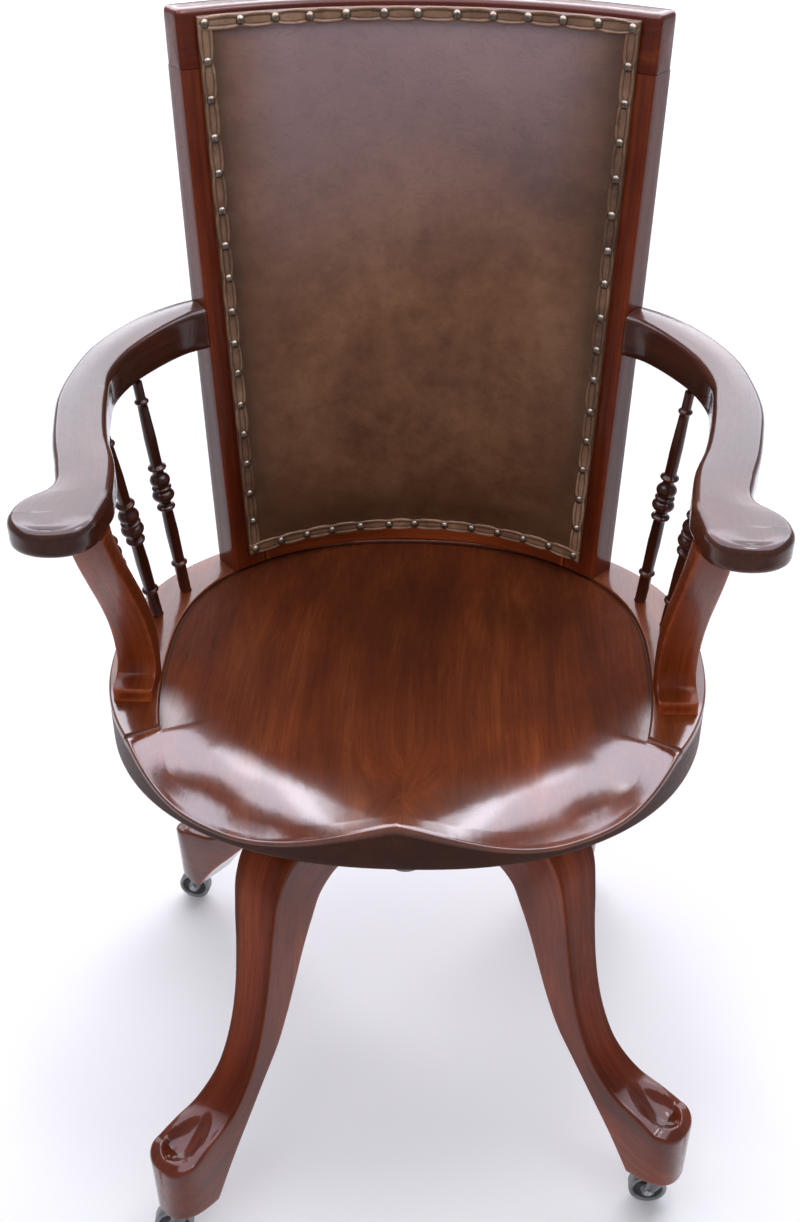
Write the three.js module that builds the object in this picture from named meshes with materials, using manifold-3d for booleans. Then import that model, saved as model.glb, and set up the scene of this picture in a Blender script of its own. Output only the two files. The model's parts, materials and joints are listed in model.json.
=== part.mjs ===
// Swivel office chair: mahogany saddle seat, curved leather back, turned arm spindles and a
// four-legged swivelling base on castors. Millimetres, +Z up, the sitter faces -Y, and the
// origin is on the floor under the middle of the whole chair.
import * as THREE from 'three';
import { mergeVertices } from 'three/addons/utils/BufferGeometryUtils.js';
import Module from 'manifold-3d';

const wasm = await Module();
wasm.setup();

// ---------------------------------------------------------------- driving dimensions
const GAP = 0.3; // clearance between pieces that touch
const CURVE_GAP = 0.8; // clearance between curved pieces that follow each other
const AXIS_Y = -30; // the swivel axis, in front of the chair's middle
const BASE_TURN = 6.8; // degrees that the base is turned to the seat at rest

const SEAT_TOP = 481;
const SEAT_THICKNESS = 48;
const SEAT_BOTTOM = SEAT_TOP - SEAT_THICKNESS;
const SEAT = { centreY: 59, halfWidth: 286, front: 264, back: 236, power: 2.3 };
const DISH = { centreY: 51, halfWidth: 233, front: 330, back: 210, power: 2.3 };
const DISH_STEP = 3; // height of the crisp edge round the dish
const DISH_DEPTH = 17;
const ROLL_DROP = 38; // how far the thigh hollows fall at the front edge
const POMMEL_RISE = 2;
const HOLLOW_X = 150; // where the hollows are deepest
const RIM_END_X = 245; // where the flat rim ends at the front corners
const ROLL_START = 0.55; // share of the radius where the front begins to roll over
const ROLL_SPAN = 0.45;
const SIDES_FROM_Y = 15; // edge points behind this have a flat rim
const FRONT_FROM_Y = -115; // and those in front of this have a fully rolled front

const BACK_ANGLE_LOW = 39.5; // half the angle that the curved back covers at the seat, degrees
const BACK_ANGLE_TOP = 32; // and at the top rail
const BACK_HALF_WIDTH_LOW = 171; // to the nail line, at the lowest nails
const BACK_HALF_WIDTH_TOP = 192; // and at the top ones
const BACK_CORNER_Y = 211; // the nail line's corner at the seat
const BACK_LEAN = 0.0486; // how it leans backwards with height
const BACK_BOW = 0.0000706; // and how that lean grows
const BACK_TOP = 1026;
const TOP_RAIL_HEIGHT = 49;
const BOTTOM_RAIL_TOP = 538;
const STILE_DEPTH = 34;
const STILE_OUTSIDE = 24; // stile face outside the nail line
const STILE_INSIDE = 14; // stile face inside the nail line
const RAIL_DEPTH = 20;
const NAIL_BOTTOM = 502;
const NAIL_TOP = 1014;
const NAILS_ACROSS = 13;
const NAILS_UP = 17;
const NAIL_RADIUS = 4.2;
const GIMP_WIDTH = 13;
const PAD_MARGIN = 6; // leather outside the nail line
const PAD_EDGE = 3;
const PAD_CROWN = 11;
const PAD_HALF_ARC = 185; // from the middle of the back to the nail line, along the curve

const ARM_TOP_BACK = 764;
const ARM_TOP_FRONT = 737;
const ARM_BOTTOM_BACK = 724;
const ARM_BOTTOM_FRONT = 713;
const ARM_HAND_Y = -150;
const ARM_BACK_Y = 230;
const ARM_TOP_ROUND = 6.5;
const ARM_BOTTOM_ROUND = 4;
const SUPPORT_FOOT = { x: 251, width: 37 };
const SUPPORT_HEAD = { x: 244, width: 31 };

const HUB_TOP = 402;
const HUB_BOTTOM = 318;
const HUB_HALF = 56;
const HUB_CORNER = 26; // cut off each corner of the square hub
const PLATE = { length: 190, width: 26, thickness: 5, boss: 26, screwsAt: 82 };
const SLEEVE_RADIUS = 20;
const SCREW_RADIUS = 14;
const FLANGE_TOP = HUB_TOP + 3.5;
const COLLAR_TOP = FLANGE_TOP + 4.5;
const NUT_TOP = COLLAR_TOP + 13;

const TOE_BOTTOM = 48;
const CASTOR_REACH = 331;
const CASTOR_TRAIL = 10;
const WHEEL_RADIUS = 19;
const WHEEL_HALF_WIDTH = 7;
const WHEEL_SEGMENTS = 24;
const AXLE_HEIGHT = WHEEL_RADIUS * Math.cos(Math.PI / WHEEL_SEGMENTS);
const AXLE_RADIUS = 3;

// ---------------------------------------------------------------- finishes
const mahogany = { color: 0x6b2a12, roughness: 0.28, metalness: 0 };
const paleMahogany = { color: 0x8a3d1c, roughness: 0.3, metalness: 0 };
const leather = { color: 0x5a3a22, roughness: 0.5, metalness: 0 };
const gimpLeather = { color: 0x4a2a18, roughness: 0.55, metalness: 0 };
const iron = { color: 0x55555a, roughness: 0.5, metalness: 0.9 };
const steel = { color: 0x8c8c90, roughness: 0.35, metalness: 0.9 };

// ---------------------------------------------------------------- mesh helpers
const deg = THREE.MathUtils.degToRad;
const mix = THREE.MathUtils.lerp;
const clamp01 = (value) => THREE.MathUtils.clamp(value, 0, 1);
const smooth = (value, low, high) => THREE.MathUtils.smoothstep(value, low, high);
const v3 = (x, y, z) => new THREE.Vector3(x, y, z);

function signedVolume(positions, index) {
  const corner = [v3(), v3(), v3()];
  let sum = 0;
  for (let i = 0; i < index.length; i += 3) {
    corner.forEach((point, k) => point.fromArray(positions, 3 * index[i + k]));
    sum += corner[0].dot(corner[1].cross(corner[2]));
  }
  return sum / 6;
}

function outward(positions, index) {
  if (signedVolume(positions, index) < 0) {
    for (let i = 0; i < index.length; i += 3) {
      [index[i + 1], index[i + 2]] = [index[i + 2], index[i + 1]];
    }
  }
  const geometry = new THREE.BufferGeometry();
  geometry.setAttribute('position', new THREE.Float32BufferAttribute(positions, 3));
  geometry.setIndex(index);
  geometry.computeVertexNormals();
  return geometry;
}

// A closed surface through rings of equal length. The ends are capped, or joined to each
// other when looped is true.
function loft(rings, looped = false) {
  const size = rings[0].length;
  const positions = rings.flat().flatMap((point) => point.toArray());
  const index = [];
  const spans = looped ? rings.length : rings.length - 1;
  for (let i = 0; i < spans; i += 1) {
    const here = i * size;
    const next = ((i + 1) % rings.length) * size;
    for (let j = 0; j < size; j += 1) {
      const k = (j + 1) % size;
      index.push(here + j, here + k, next + k, here + j, next + k, next + j);
    }
  }
  if (!looped) {
    [0, rings.length - 1].forEach((end) => {
      const middle = rings[end].reduce((sum, point) => sum.add(point), v3(0, 0, 0));
      positions.push(...middle.divideScalar(size).toArray());
      const hub = positions.length / 3 - 1;
      for (let j = 0; j < size; j += 1) {
        const a = end * size + j;
        const b = end * size + ((j + 1) % size);
        index.push(...(end === 0 ? [hub, b, a] : [hub, a, b]));
      }
    });
  }
  return outward(positions, index);
}

// A turned piece about Z, from [radius, height] pairs that start and end on the axis or
// close on themselves.
function turned(profile, segments = 24) {
  const points = profile.map(([radius, height]) => new THREE.Vector2(radius, height));
  const geometry = new THREE.LatheGeometry(points, segments);
  return geometry.rotateX(Math.PI / 2);
}

function washer(inner, outer, low, high, segments = 24) {
  return turned([[inner, low], [outer, low], [outer, high], [inner, high], [inner, low]], segments);
}

function rod(radius, low, high, segments = 24) {
  return turned([[0, low], [radius, low], [radius, high], [0, high]], segments);
}

function box(width, depth, height, x, y, z) {
  return new THREE.BoxGeometry(width, depth, height).translate(x, y, z);
}

function toSolid(geometry) {
  const bare = geometry.clone();
  bare.deleteAttribute('normal');
  bare.deleteAttribute('uv');
  const merged = mergeVertices(bare, 1e-4);
  const triangles = [];
  for (let i = 0; i < merged.index.count; i += 3) {
    const [a, b, c] = [0, 1, 2].map((k) => merged.index.getX(i + k));
    if (a !== b && b !== c && c !== a) triangles.push(a, b, c);
  }
  const vertProperties = merged.attributes.position.array;
  const mesh = new wasm.Mesh({ numProp: 3, vertProperties, triVerts: new Uint32Array(triangles) });
  return new wasm.Manifold(mesh);
}

function fromSolid(solid) {
  const mesh = solid.getMesh();
  return outward(Array.from(mesh.vertProperties), Array.from(mesh.triVerts));
}

function joined(geometries) {
  return fromSolid(geometries.map(toSolid).reduce((all, next) => all.add(next)));
}

function cut(geometry, ...tools) {
  return fromSolid(tools.map(toSolid).reduce((left, tool) => left.subtract(tool), toSolid(geometry)));
}

function common(geometry, tool) {
  return fromSolid(toSolid(geometry).intersect(toSolid(tool)));
}

function piece(name, geometry, finish) {
  const mesh = new THREE.Mesh(geometry, new THREE.MeshStandardMaterial(finish));
  mesh.name = name;
  return mesh;
}

// A board's cross-section: half its width, its low and high edges, and rounded corners.
function boardSection(halfWidth, low, high, topRound, bottomRound, parts = 2) {
  const corners = [
    [1, high, topRound, 0], [-1, high, topRound, 90],
    [-1, low, bottomRound, 180], [1, low, bottomRound, 270],
  ];
  return corners.flatMap(([side, level, round, start]) => {
    const radius = Math.min(round, 0.9 * halfWidth, 0.45 * (high - low));
    const towards = level === high ? -1 : 1;
    return Array.from({ length: parts + 1 }, (_, i) => {
      const angle = deg(start + (90 * i) / parts);
      const across = side * (halfWidth - radius) + radius * Math.cos(angle);
      return [across, level + towards * radius + radius * Math.sin(angle)];
    });
  });
}

// ---------------------------------------------------------------- seat
function ovalRadius(oval, angle) {
  const across = Math.abs(Math.cos(angle)) / oval.halfWidth;
  const along = Math.abs(Math.sin(angle)) / (Math.sin(angle) < 0 ? oval.front : oval.back);
  return (across ** oval.power + along ** oval.power) ** (-1 / oval.power);
}

// Fall of the front edge below the rim: a pommel in the middle and a hollow each side.
function frontDrop(x) {
  const out = Math.abs(x);
  if (out < HOLLOW_X) {
    return mix(-POMMEL_RISE, ROLL_DROP, Math.sin((Math.PI / 2) * (out / HOLLOW_X) ** 1.2));
  }
  const fade = clamp01((out - HOLLOW_X) / (RIM_END_X - HOLLOW_X));
  return ROLL_DROP * Math.cos((Math.PI / 2) * fade ** 1.8);
}

function seatPoint(angle, radius, drop) {
  const x = radius * Math.cos(angle);
  return v3(x, SEAT.centreY + radius * Math.sin(angle), SEAT_TOP - drop);
}

function seatBoard() {
  const sectors = 60;
  const angles = Array.from({ length: sectors }, (_, i) => (2 * Math.PI * (i + 0.5)) / sectors);
  const edges = angles.map((angle) => ovalRadius(SEAT, angle));
  const dishEdges = angles.map((angle, i) => Math.min(ovalRadius(DISH, angle), 0.94 * edges[i]));
  const frontness = angles.map((angle, i) => {
    const edgeY = SEAT.centreY + edges[i] * Math.sin(angle);
    return 1 - smooth(edgeY, FRONT_FROM_Y, SIDES_FROM_Y);
  });
  const drops = angles.map((angle, i) => frontDrop(edges[i] * Math.cos(angle)));
  const rollAt = (i, radius) => (
    frontness[i] * clamp01((radius / edges[i] - ROLL_START) / ROLL_SPAN) ** 2);
  const dishRing = (share) => angles.map((angle, i) => {
    const radius = share * dishEdges[i];
    const bowl = mix(DISH_DEPTH, DISH_STEP, share ** 3);
    return seatPoint(angle, radius, mix(bowl, drops[i], rollAt(i, radius)));
  });
  const rimDrop = (i, radius) => drops[i] * rollAt(i, radius) * (frontness[i] > 0.9 ? 1 : 0);
  const rimRing = (share) => angles.map((angle, i) => {
    const radius = mix(dishEdges[i], edges[i], share);
    return seatPoint(angle, radius, rimDrop(i, radius));
  });
  const edgeRing = (inset, rise) => angles.map((angle, i) => {
    const point = seatPoint(angle, edges[i] - inset, 0);
    return point.setZ(rise >= 0 ? SEAT_BOTTOM + rise : SEAT_TOP - rimDrop(i, edges[i]) + rise);
  });
  const rings = [0.12, 0.4, 0.62, 0.8, 0.92, 0.985].map(dishRing);
  rings.push(rimRing(0.03), rimRing(0.5), rimRing(0.93));
  rings.push(edgeRing(0, -4), edgeRing(0, 3), edgeRing(4, 0));
  return loft(rings);
}

function seatPlate() {
  const top = SEAT_BOTTOM - GAP;
  const arm = box(PLATE.length, PLATE.width, PLATE.thickness, 0, 0, top - PLATE.thickness / 2);
  const cross = arm.clone().rotateZ(Math.PI / 2);
  const boss = rod(PLATE.boss, NUT_TOP + 1, top);
  const places = [-PLATE.screwsAt, PLATE.screwsAt].flatMap((at) => [[at, 0], [0, at]]);
  const heads = places.map(([x, y]) => rod(6, top - 7, top - 1, 12).translate(x, y, 0));
  const plate = joined([arm, cross, boss, ...heads]);
  return cut(plate, rod(SCREW_RADIUS + GAP, 0, SEAT_BOTTOM + 1));
}

// ---------------------------------------------------------------- curved back
// The back's front surface. turn runs from -1 to 1 between the nail lines, beyond is the
// distance past the nail line along the flat stile face, and proud is the height above the
// surface towards the sitter.
const backShare = (z) => (z - NAIL_BOTTOM) / (NAIL_TOP - NAIL_BOTTOM);
const backHalfWidth = (z) => mix(BACK_HALF_WIDTH_LOW, BACK_HALF_WIDTH_TOP, backShare(z));
const backAngle = (z) => deg(mix(BACK_ANGLE_LOW, BACK_ANGLE_TOP, backShare(z)));

function backCornerY(z) {
  const rise = z - SEAT_TOP;
  return BACK_CORNER_Y + BACK_LEAN * rise + BACK_BOW * rise * rise;
}

function backPoint(turn, beyond, z, proud) {
  const angle = backAngle(z) * turn;
  const radius = backHalfWidth(z) / Math.sin(backAngle(z));
  const centreY = backCornerY(z) - radius * Math.cos(backAngle(z));
  const side = Math.sign(turn);
  const x = (radius - proud) * Math.sin(angle) + side * beyond * Math.cos(angle);
  const y = centreY + (radius - proud) * Math.cos(angle) - beyond * Math.sin(Math.abs(angle));
  return v3(x, y, z);
}

function steps(count, low, high) {
  return Array.from({ length: count + 1 }, (_, i) => mix(low, high, i / count));
}

function stile(side) {
  const chamfer = 1.5;
  const outline = [
    [STILE_OUTSIDE - chamfer, 0], [STILE_OUTSIDE, -chamfer],
    [STILE_OUTSIDE, chamfer - STILE_DEPTH], [STILE_OUTSIDE - chamfer, -STILE_DEPTH],
    [chamfer - STILE_INSIDE, -STILE_DEPTH], [-STILE_INSIDE, chamfer - STILE_DEPTH],
    [-STILE_INSIDE, -chamfer], [chamfer - STILE_INSIDE, 0],
  ];
  const levels = steps(10, SEAT_TOP + GAP, BACK_TOP - TOP_RAIL_HEIGHT - GAP);
  const ringAt = (z) => outline.map(([beyond, proud]) => backPoint(side, beyond, z, proud));
  return loft(levels.map(ringAt));
}

// A bar that follows the curve of the back between two ends, each a turn and a beyond.
function curvedBar(reach, beyond, section, count = 16) {
  const stations = steps(count, -reach, reach).map((turn) => [turn, 0]);
  if (beyond > 0) {
    stations.unshift([-1, beyond]);
    stations.push([1, beyond]);
  }
  const ringAt = ([turn, past]) => section.map(([z, proud]) => backPoint(turn, past, z, proud));
  return loft(stations.map(ringAt));
}

function topRail() {
  const low = BACK_TOP - TOP_RAIL_HEIGHT;
  const section = [
    [low, 0], [BACK_TOP - 4, 0], [BACK_TOP, -4],
    [BACK_TOP, 4 - STILE_DEPTH], [BACK_TOP - 4, -STILE_DEPTH], [low, -STILE_DEPTH],
  ];
  return curvedBar(1, STILE_OUTSIDE, section);
}

// The share of the nail-line turn that stays clear of the stiles' inner faces.
const railReach = 1 - (STILE_INSIDE + 1) / PAD_HALF_ARC;

function bottomRail() {
  const low = SEAT_TOP + GAP;
  const section = [
    [low, 0], [BOTTOM_RAIL_TOP, 0], [BOTTOM_RAIL_TOP, -RAIL_DEPTH], [low, -RAIL_DEPTH],
  ];
  return curvedBar(railReach, 0, section);
}

function backPanel(front, thickness) {
  const low = BOTTOM_RAIL_TOP + GAP;
  const high = BACK_TOP - TOP_RAIL_HEIGHT - GAP;
  const levels = steps(2, low, high);
  const section = [
    ...levels.map((z) => [z, front]),
    ...levels.reverse().map((z) => [z, front - thickness]),
  ];
  return curvedBar(railReach, 0, section);
}

// Height of the pad's leather above the frame. It is flat under the gimp and crowned inside.
function padHeight(turn, z) {
  const flat = GIMP_WIDTH / 2 + 2;
  const across = Math.abs(turn) / (1 - flat / PAD_HALF_ARC);
  const up = Math.abs(mix(-1, 1, (z - NAIL_BOTTOM - flat) / (NAIL_TOP - NAIL_BOTTOM - 2 * flat)));
  const crown = Math.max(0, 1 - across ** 4) * Math.max(0, 1 - up ** 6);
  return CURVE_GAP + PAD_EDGE + PAD_CROWN * crown;
}

function leatherPad() {
  const levels = [
    NAIL_BOTTOM - PAD_MARGIN,
    ...steps(8, NAIL_BOTTOM + GIMP_WIDTH / 2 + 2, NAIL_TOP - GIMP_WIDTH / 2 - 2),
    NAIL_TOP + PAD_MARGIN,
  ];
  const station = (turn, beyond) => [
    ...levels.map((z) => backPoint(turn, beyond, z, padHeight(turn, z))),
    ...levels.toReversed().map((z) => backPoint(turn, beyond, z, CURVE_GAP)),
  ];
  const inside = 1 - (GIMP_WIDTH / 2 + 2) / PAD_HALF_ARC;
  const across = [-1, ...steps(12, -inside, inside), 1].map((turn) => station(turn, 0));
  return loft([station(-1, PAD_MARGIN), ...across, station(1, PAD_MARGIN)]);
}

// Points round the nail line, at a distance outside it, one list per side of the panel.
function nailLine(outside, countAcross, countUp, proud) {
  const low = NAIL_BOTTOM - outside;
  const high = NAIL_TOP + outside;
  const turns = steps(countAcross, -1, 1);
  const past = (turn) => (Math.abs(turn) === 1 ? outside : 0);
  const levels = steps(countUp, low, high);
  const bottom = turns.map((turn) => backPoint(turn, past(turn), low, proud));
  const right = levels.slice(1, -1).map((z) => backPoint(1, outside, z, proud));
  const top = turns.toReversed().map((turn) => backPoint(turn, past(turn), high, proud));
  const left = levels.slice(1, -1).toReversed().map((z) => backPoint(-1, outside, z, proud));
  return [...bottom, ...right, ...top, ...left];
}

function gimpBand() {
  const half = GIMP_WIDTH / 2;
  const low = CURVE_GAP + PAD_EDGE + CURVE_GAP;
  const high = low + 1.8;
  const corners = [[half, low], [half, high], [-half, high], [-half, low]];
  const rings = corners.map(([outside, proud]) => nailLine(outside, 12, 6, proud));
  const band = loft(rings, true);
  const feet = nailLine(0, NAILS_ACROSS - 1, NAILS_UP - 1, high - 0.5);
  const heads = nailLine(0, NAILS_ACROSS - 1, NAILS_UP - 1, high + 0.5);
  const domes = feet.map((foot, i) => {
    const dome = turned([[0, 0], [NAIL_RADIUS, 0], [0.7 * NAIL_RADIUS, 2], [0, 3]], 6);
    const facing = new THREE.Quaternion().setFromUnitVectors(v3(0, 0, 1), heads[i].clone().sub(foot));
    return dome.applyQuaternion(facing).translate(foot.x, foot.y, foot.z);
  });
  return joined([band, ...domes]);
}

// ---------------------------------------------------------------- arms
function armTop(y) {
  return mix(ARM_TOP_FRONT, ARM_TOP_BACK, (y - ARM_HAND_Y) / (ARM_BACK_Y - ARM_HAND_Y));
}

// The underside is level over the hand rest and rises behind it.
function armBottom(y) {
  const levelTo = -100;
  return mix(ARM_BOTTOM_FRONT, ARM_BOTTOM_BACK, clamp01((y - levelTo) / (ARM_BACK_Y - levelTo)));
}

// Middle of the arm in plan and half its width, from the stile to the rounded hand rest.
function armStations() {
  const start = backPoint(1, STILE_OUTSIDE + GAP, ARM_BOTTOM_BACK + 20, -STILE_DEPTH / 2);
  const next = backPoint(1, STILE_OUTSIDE + 22, ARM_BOTTOM_BACK + 20, -STILE_DEPTH / 2);
  return [
    [start.x, start.y, 17], [next.x, next.y, 18.5], [251, 188, 20], [277, 136, 20],
    [286, 87, 19.5], [284.5, 46, 22], [278, 6, 22.5], [270, -29, 23], [259, -64, 24],
    [253, -96, 24], [255, -109, 27], [261, -122, 32.5], [265.5, -136, 35],
    [266, -152, 32], [266, -165, 22], [266, -173, 9],
  ].map((station) => v3(...station));
}

function arm(side) {
  const curve = new THREE.CatmullRomCurve3(armStations());
  const rings = steps(26, 0, 1).map((share) => {
    const middle = curve.getPoint(share);
    const along = curve.getTangent(share).setZ(0).normalize();
    const [low, high] = [armBottom(middle.y), armTop(middle.y)];
    const section = boardSection(middle.z, low, high, ARM_TOP_ROUND, ARM_BOTTOM_ROUND);
    if (share === 0) {
      return section.map(([across, z]) => (
        backPoint(side, STILE_OUTSIDE + GAP, z, -across - STILE_DEPTH / 2)));
    }
    return section.map(([across, z]) => (
      v3(side * (middle.x - along.y * across), middle.y + along.x * across, z)));
  });
  return loft(rings);
}

// The support's side view (forward and up), then each height is set to its place and width.
function armSupport(side) {
  const outline = new THREE.Shape();
  outline.moveTo(8, SEAT_TOP + GAP);
  outline.lineTo(-40, SEAT_TOP + GAP);
  outline.lineTo(-40, 494);
  outline.lineTo(-28, 495.5);
  outline.quadraticCurveTo(-14, 497, -15, 512);
  outline.bezierCurveTo(-24, 575, -102, 640, -143, ARM_BOTTOM_FRONT - GAP);
  outline.lineTo(-120, ARM_BOTTOM_FRONT - GAP);
  outline.bezierCurveTo(-79, 640, 0, 575, 8, 515);
  const geometry = new THREE.ExtrudeGeometry(outline, {
    depth: 1, bevelEnabled: false, curveSegments: 8,
  });
  const place = geometry.attributes.position;
  for (let i = 0; i < place.count; i += 1) {
    const [y, z, across] = [place.getX(i), place.getY(i), place.getZ(i) - 0.5];
    const share = (z - SEAT_TOP) / (ARM_BOTTOM_FRONT - SEAT_TOP);
    const width = mix(SUPPORT_FOOT.width, SUPPORT_HEAD.width, share);
    const x = mix(SUPPORT_FOOT.x, SUPPORT_HEAD.x, share) + across * width;
    place.setXYZ(i, side * x, y, z);
  }
  const merged = mergeVertices(geometry.deleteAttribute('normal').deleteAttribute('uv'), 1e-4);
  return outward(Array.from(merged.attributes.position.array), Array.from(merged.index.array));
}

// Turned spindle: share of the height and radius of each ring, bead and taper.
const SPINDLE_PROFILE = [
  [-0.05, 6], [0.13, 6.2], [0.147, 8.2], [0.16, 6], [0.3, 6.5], [0.41, 6], [0.427, 9.2],
  [0.443, 6], [0.482, 10.4], [0.508, 7.6], [0.519, 9.6], [0.53, 7.6], [0.557, 10.4],
  [0.598, 6], [0.613, 9.2], [0.628, 6], [0.75, 6.1], [0.897, 5], [0.912, 6.9], [0.926, 4.8],
  [1.05, 4.8],
];

function spindle(side, foot, head) {
  const low = v3(side * foot[0], foot[1], SEAT_TOP);
  const high = v3(side * head[0], head[1], armBottom(head[1]));
  const along = high.clone().sub(low);
  const length = along.length();
  const profile = SPINDLE_PROFILE.map(([share, radius]) => [radius, share * length]);
  const first = profile[0][1];
  const last = profile.at(-1)[1];
  const shape = turned([[0, first], ...profile, [0, last]], 8);
  const lean = new THREE.Quaternion().setFromUnitVectors(v3(0, 0, 1), along.normalize());
  shape.applyQuaternion(lean).translate(low.x, low.y, low.z);
  const height = high.z - low.z - 2 * GAP;
  const middleY = (foot[1] + head[1]) / 2;
  return common(shape, box(100, 300, height, side * 260, middleY, low.z + GAP + height / 2));
}

// ---------------------------------------------------------------- base
// Leg profile: outer or top point, inner or under point, and half the width. The first
// station meets the hub and the last is the front of the toe.
const LEG_STATIONS = [
  [HUB_HALF + GAP, 398, HUB_HALF + GAP, 340, 27], [115, 404, 100, 350, 27],
  [160, 407, 130, 354, 28], [190, 398, 152, 340, 28], [206, 372, 164, 315, 27],
  [213, 335, 175, 284, 25], [218, 290, 185, 248, 22.5], [226, 240, 196, 212, 20.5],
  [238, 196, 211, 178, 20], [256, 160, 232, 148, 20.5], [282, 137, 258, 116, 23],
  [310, 129, 284, 84, 25.5], [331, 122, 308, TOE_BOTTOM, 27], [344, 112, 335, TOE_BOTTOM, 25.5],
  [350, 102, 351, TOE_BOTTOM, 19],
];

function leg() {
  const outer = new THREE.CatmullRomCurve3(LEG_STATIONS.map(([r, z, , , half]) => v3(r, z, half)));
  const inner = new THREE.CatmullRomCurve3(LEG_STATIONS.map(([, , r, z, half]) => v3(r, z, half)));
  const chamfer = 2;
  const rings = steps(22, 0, 1).map((share) => {
    const top = outer.getPoint(share);
    const under = inner.getPoint(share);
    const half = top.z;
    const depth = Math.hypot(top.x - under.x, top.y - under.y);
    const edge = chamfer / depth;
    const outline = [
      [0, half - chamfer], [edge, half], [1 - edge, half], [1, half - chamfer],
      [1, chamfer - half], [1 - edge, -half], [edge, -half], [0, chamfer - half],
    ];
    return outline.map(([down, across]) => (
      v3(mix(top.x, under.x, down), across, mix(top.y, Math.max(under.y, TOE_BOTTOM), down))));
  });
  const scoop = new THREE.SphereGeometry(1, 12, 8).scale(27, 16, 18).translate(315, 0, 140);
  return cut(loft(rings), scoop);
}

function hub() {
  const flat = HUB_HALF - HUB_CORNER;
  const outline = new THREE.Shape([
    [HUB_HALF, -flat], [HUB_HALF, flat], [flat, HUB_HALF], [-flat, HUB_HALF],
    [-HUB_HALF, flat], [-HUB_HALF, -flat], [-flat, -HUB_HALF], [flat, -HUB_HALF],
  ].map(([x, y]) => new THREE.Vector2(x, y)));
  const depth = HUB_TOP - HUB_BOTTOM;
  const block = new THREE.ExtrudeGeometry(outline, { depth, bevelEnabled: false });
  block.translate(0, 0, HUB_BOTTOM);
  const drop = turned([
    [0, HUB_BOTTOM - 46], [30, HUB_BOTTOM - 46], [40, HUB_BOTTOM - 36], [36, HUB_BOTTOM - 24],
    [30, HUB_BOTTOM - 18], [46, HUB_BOTTOM - 8], [48, HUB_BOTTOM + 2], [0, HUB_BOTTOM + 2],
  ], 24);
  const body = joined([block, drop]).rotateZ(Math.PI / 4);
  return cut(body, rod(SLEEVE_RADIUS + GAP, 0, HUB_TOP + 1));
}

function hubSleeve() {
  const low = HUB_BOTTOM - 60;
  const bore = SCREW_RADIUS + 1.2;
  return turned([
    [bore, low], [SLEEVE_RADIUS, low], [SLEEVE_RADIUS, HUB_TOP + GAP], [40, HUB_TOP + GAP],
    [40, FLANGE_TOP], [bore, FLANGE_TOP], [bore, low],
  ], 24);
}

function heightNut() {
  const outline = new THREE.Shape(Array.from({ length: 32 }, (_, i) => {
    const angle = (2 * Math.PI * i) / 32;
    const radius = 32 + 2.5 * Math.cos(8 * angle);
    return new THREE.Vector2(radius * Math.cos(angle), radius * Math.sin(angle));
  }));
  const low = COLLAR_TOP + GAP;
  const depth = NUT_TOP - low;
  const body = new THREE.ExtrudeGeometry(outline, { depth, bevelEnabled: false });
  body.translate(0, 0, low);
  return cut(body, rod(SCREW_RADIUS + 0.4, 0, NUT_TOP + 1));
}

// ---------------------------------------------------------------- castors
// A castor is built with its stem at the origin and its wheel trailing along +X.
function castorFork() {
  const cheekInside = WHEEL_HALF_WIDTH + 1;
  const cheekThickness = 2.4;
  const outline = new THREE.Shape();
  outline.moveTo(-5, 42);
  outline.lineTo(-5, 38);
  outline.lineTo(CASTOR_TRAIL - 5.5, AXLE_HEIGHT);
  outline.absarc(CASTOR_TRAIL, AXLE_HEIGHT, 5.5, Math.PI, 2 * Math.PI, false);
  outline.lineTo(9, 42);
  const cheek = new THREE.ExtrudeGeometry(outline, {
    depth: cheekThickness, bevelEnabled: false, curveSegments: 8,
  }).rotateX(Math.PI / 2);
  const near = cheek.clone().translate(0, -cheekInside, 0);
  const far = cheek.clone().translate(0, cheekInside + cheekThickness, 0);
  const bridge = box(14, 2 * (cheekInside + cheekThickness), 2.4, 2, 0, 40.8);
  const neck = turned([[0, 40], [8, 40], [7, TOE_BOTTOM - 4.3], [0, TOE_BOTTOM - 4.3]], 20);
  const hole = new THREE.CylinderGeometry(AXLE_RADIUS + 0.15, AXLE_RADIUS + 0.15, 40, 16);
  return cut(joined([near, far, bridge, neck]), hole.translate(CASTOR_TRAIL, 0, AXLE_HEIGHT));
}

function castorWheel() {
  const w = WHEEL_HALF_WIDTH;
  const r = WHEEL_RADIUS;
  const bore = AXLE_RADIUS + 0.3;
  const profile = [
    [bore, -w], [6, -w], [7, 1 - w], [r - 5, 1 - w], [r - 3.5, -w], [r, 2 - w],
    [r, w - 2], [r - 3.5, w], [r - 5, w - 1], [7, w - 1], [6, w], [bore, w], [bore, -w],
  ].map(([radius, along]) => new THREE.Vector2(radius, along));
  const halfFacet = Math.PI / WHEEL_SEGMENTS;
  const wheel = new THREE.LatheGeometry(profile, WHEEL_SEGMENTS, halfFacet);
  return wheel.translate(CASTOR_TRAIL, 0, AXLE_HEIGHT);
}

function castorAxle() {
  const half = WHEEL_HALF_WIDTH + 4.4;
  const pin = new THREE.CylinderGeometry(AXLE_RADIUS, AXLE_RADIUS, 2 * half, 16);
  return pin.translate(CASTOR_TRAIL, 0, AXLE_HEIGHT);
}

function castorPlate() {
  return turned([
    [0, TOE_BOTTOM - 4], [9, TOE_BOTTOM - 4], [11, TOE_BOTTOM - 2.4], [17, TOE_BOTTOM - 2.4],
    [17, TOE_BOTTOM - GAP], [0, TOE_BOTTOM - GAP],
  ], 16);
}

// ---------------------------------------------------------------- assembly
const chair = new THREE.Group();
chair.position.y = AXIS_Y;

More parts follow.
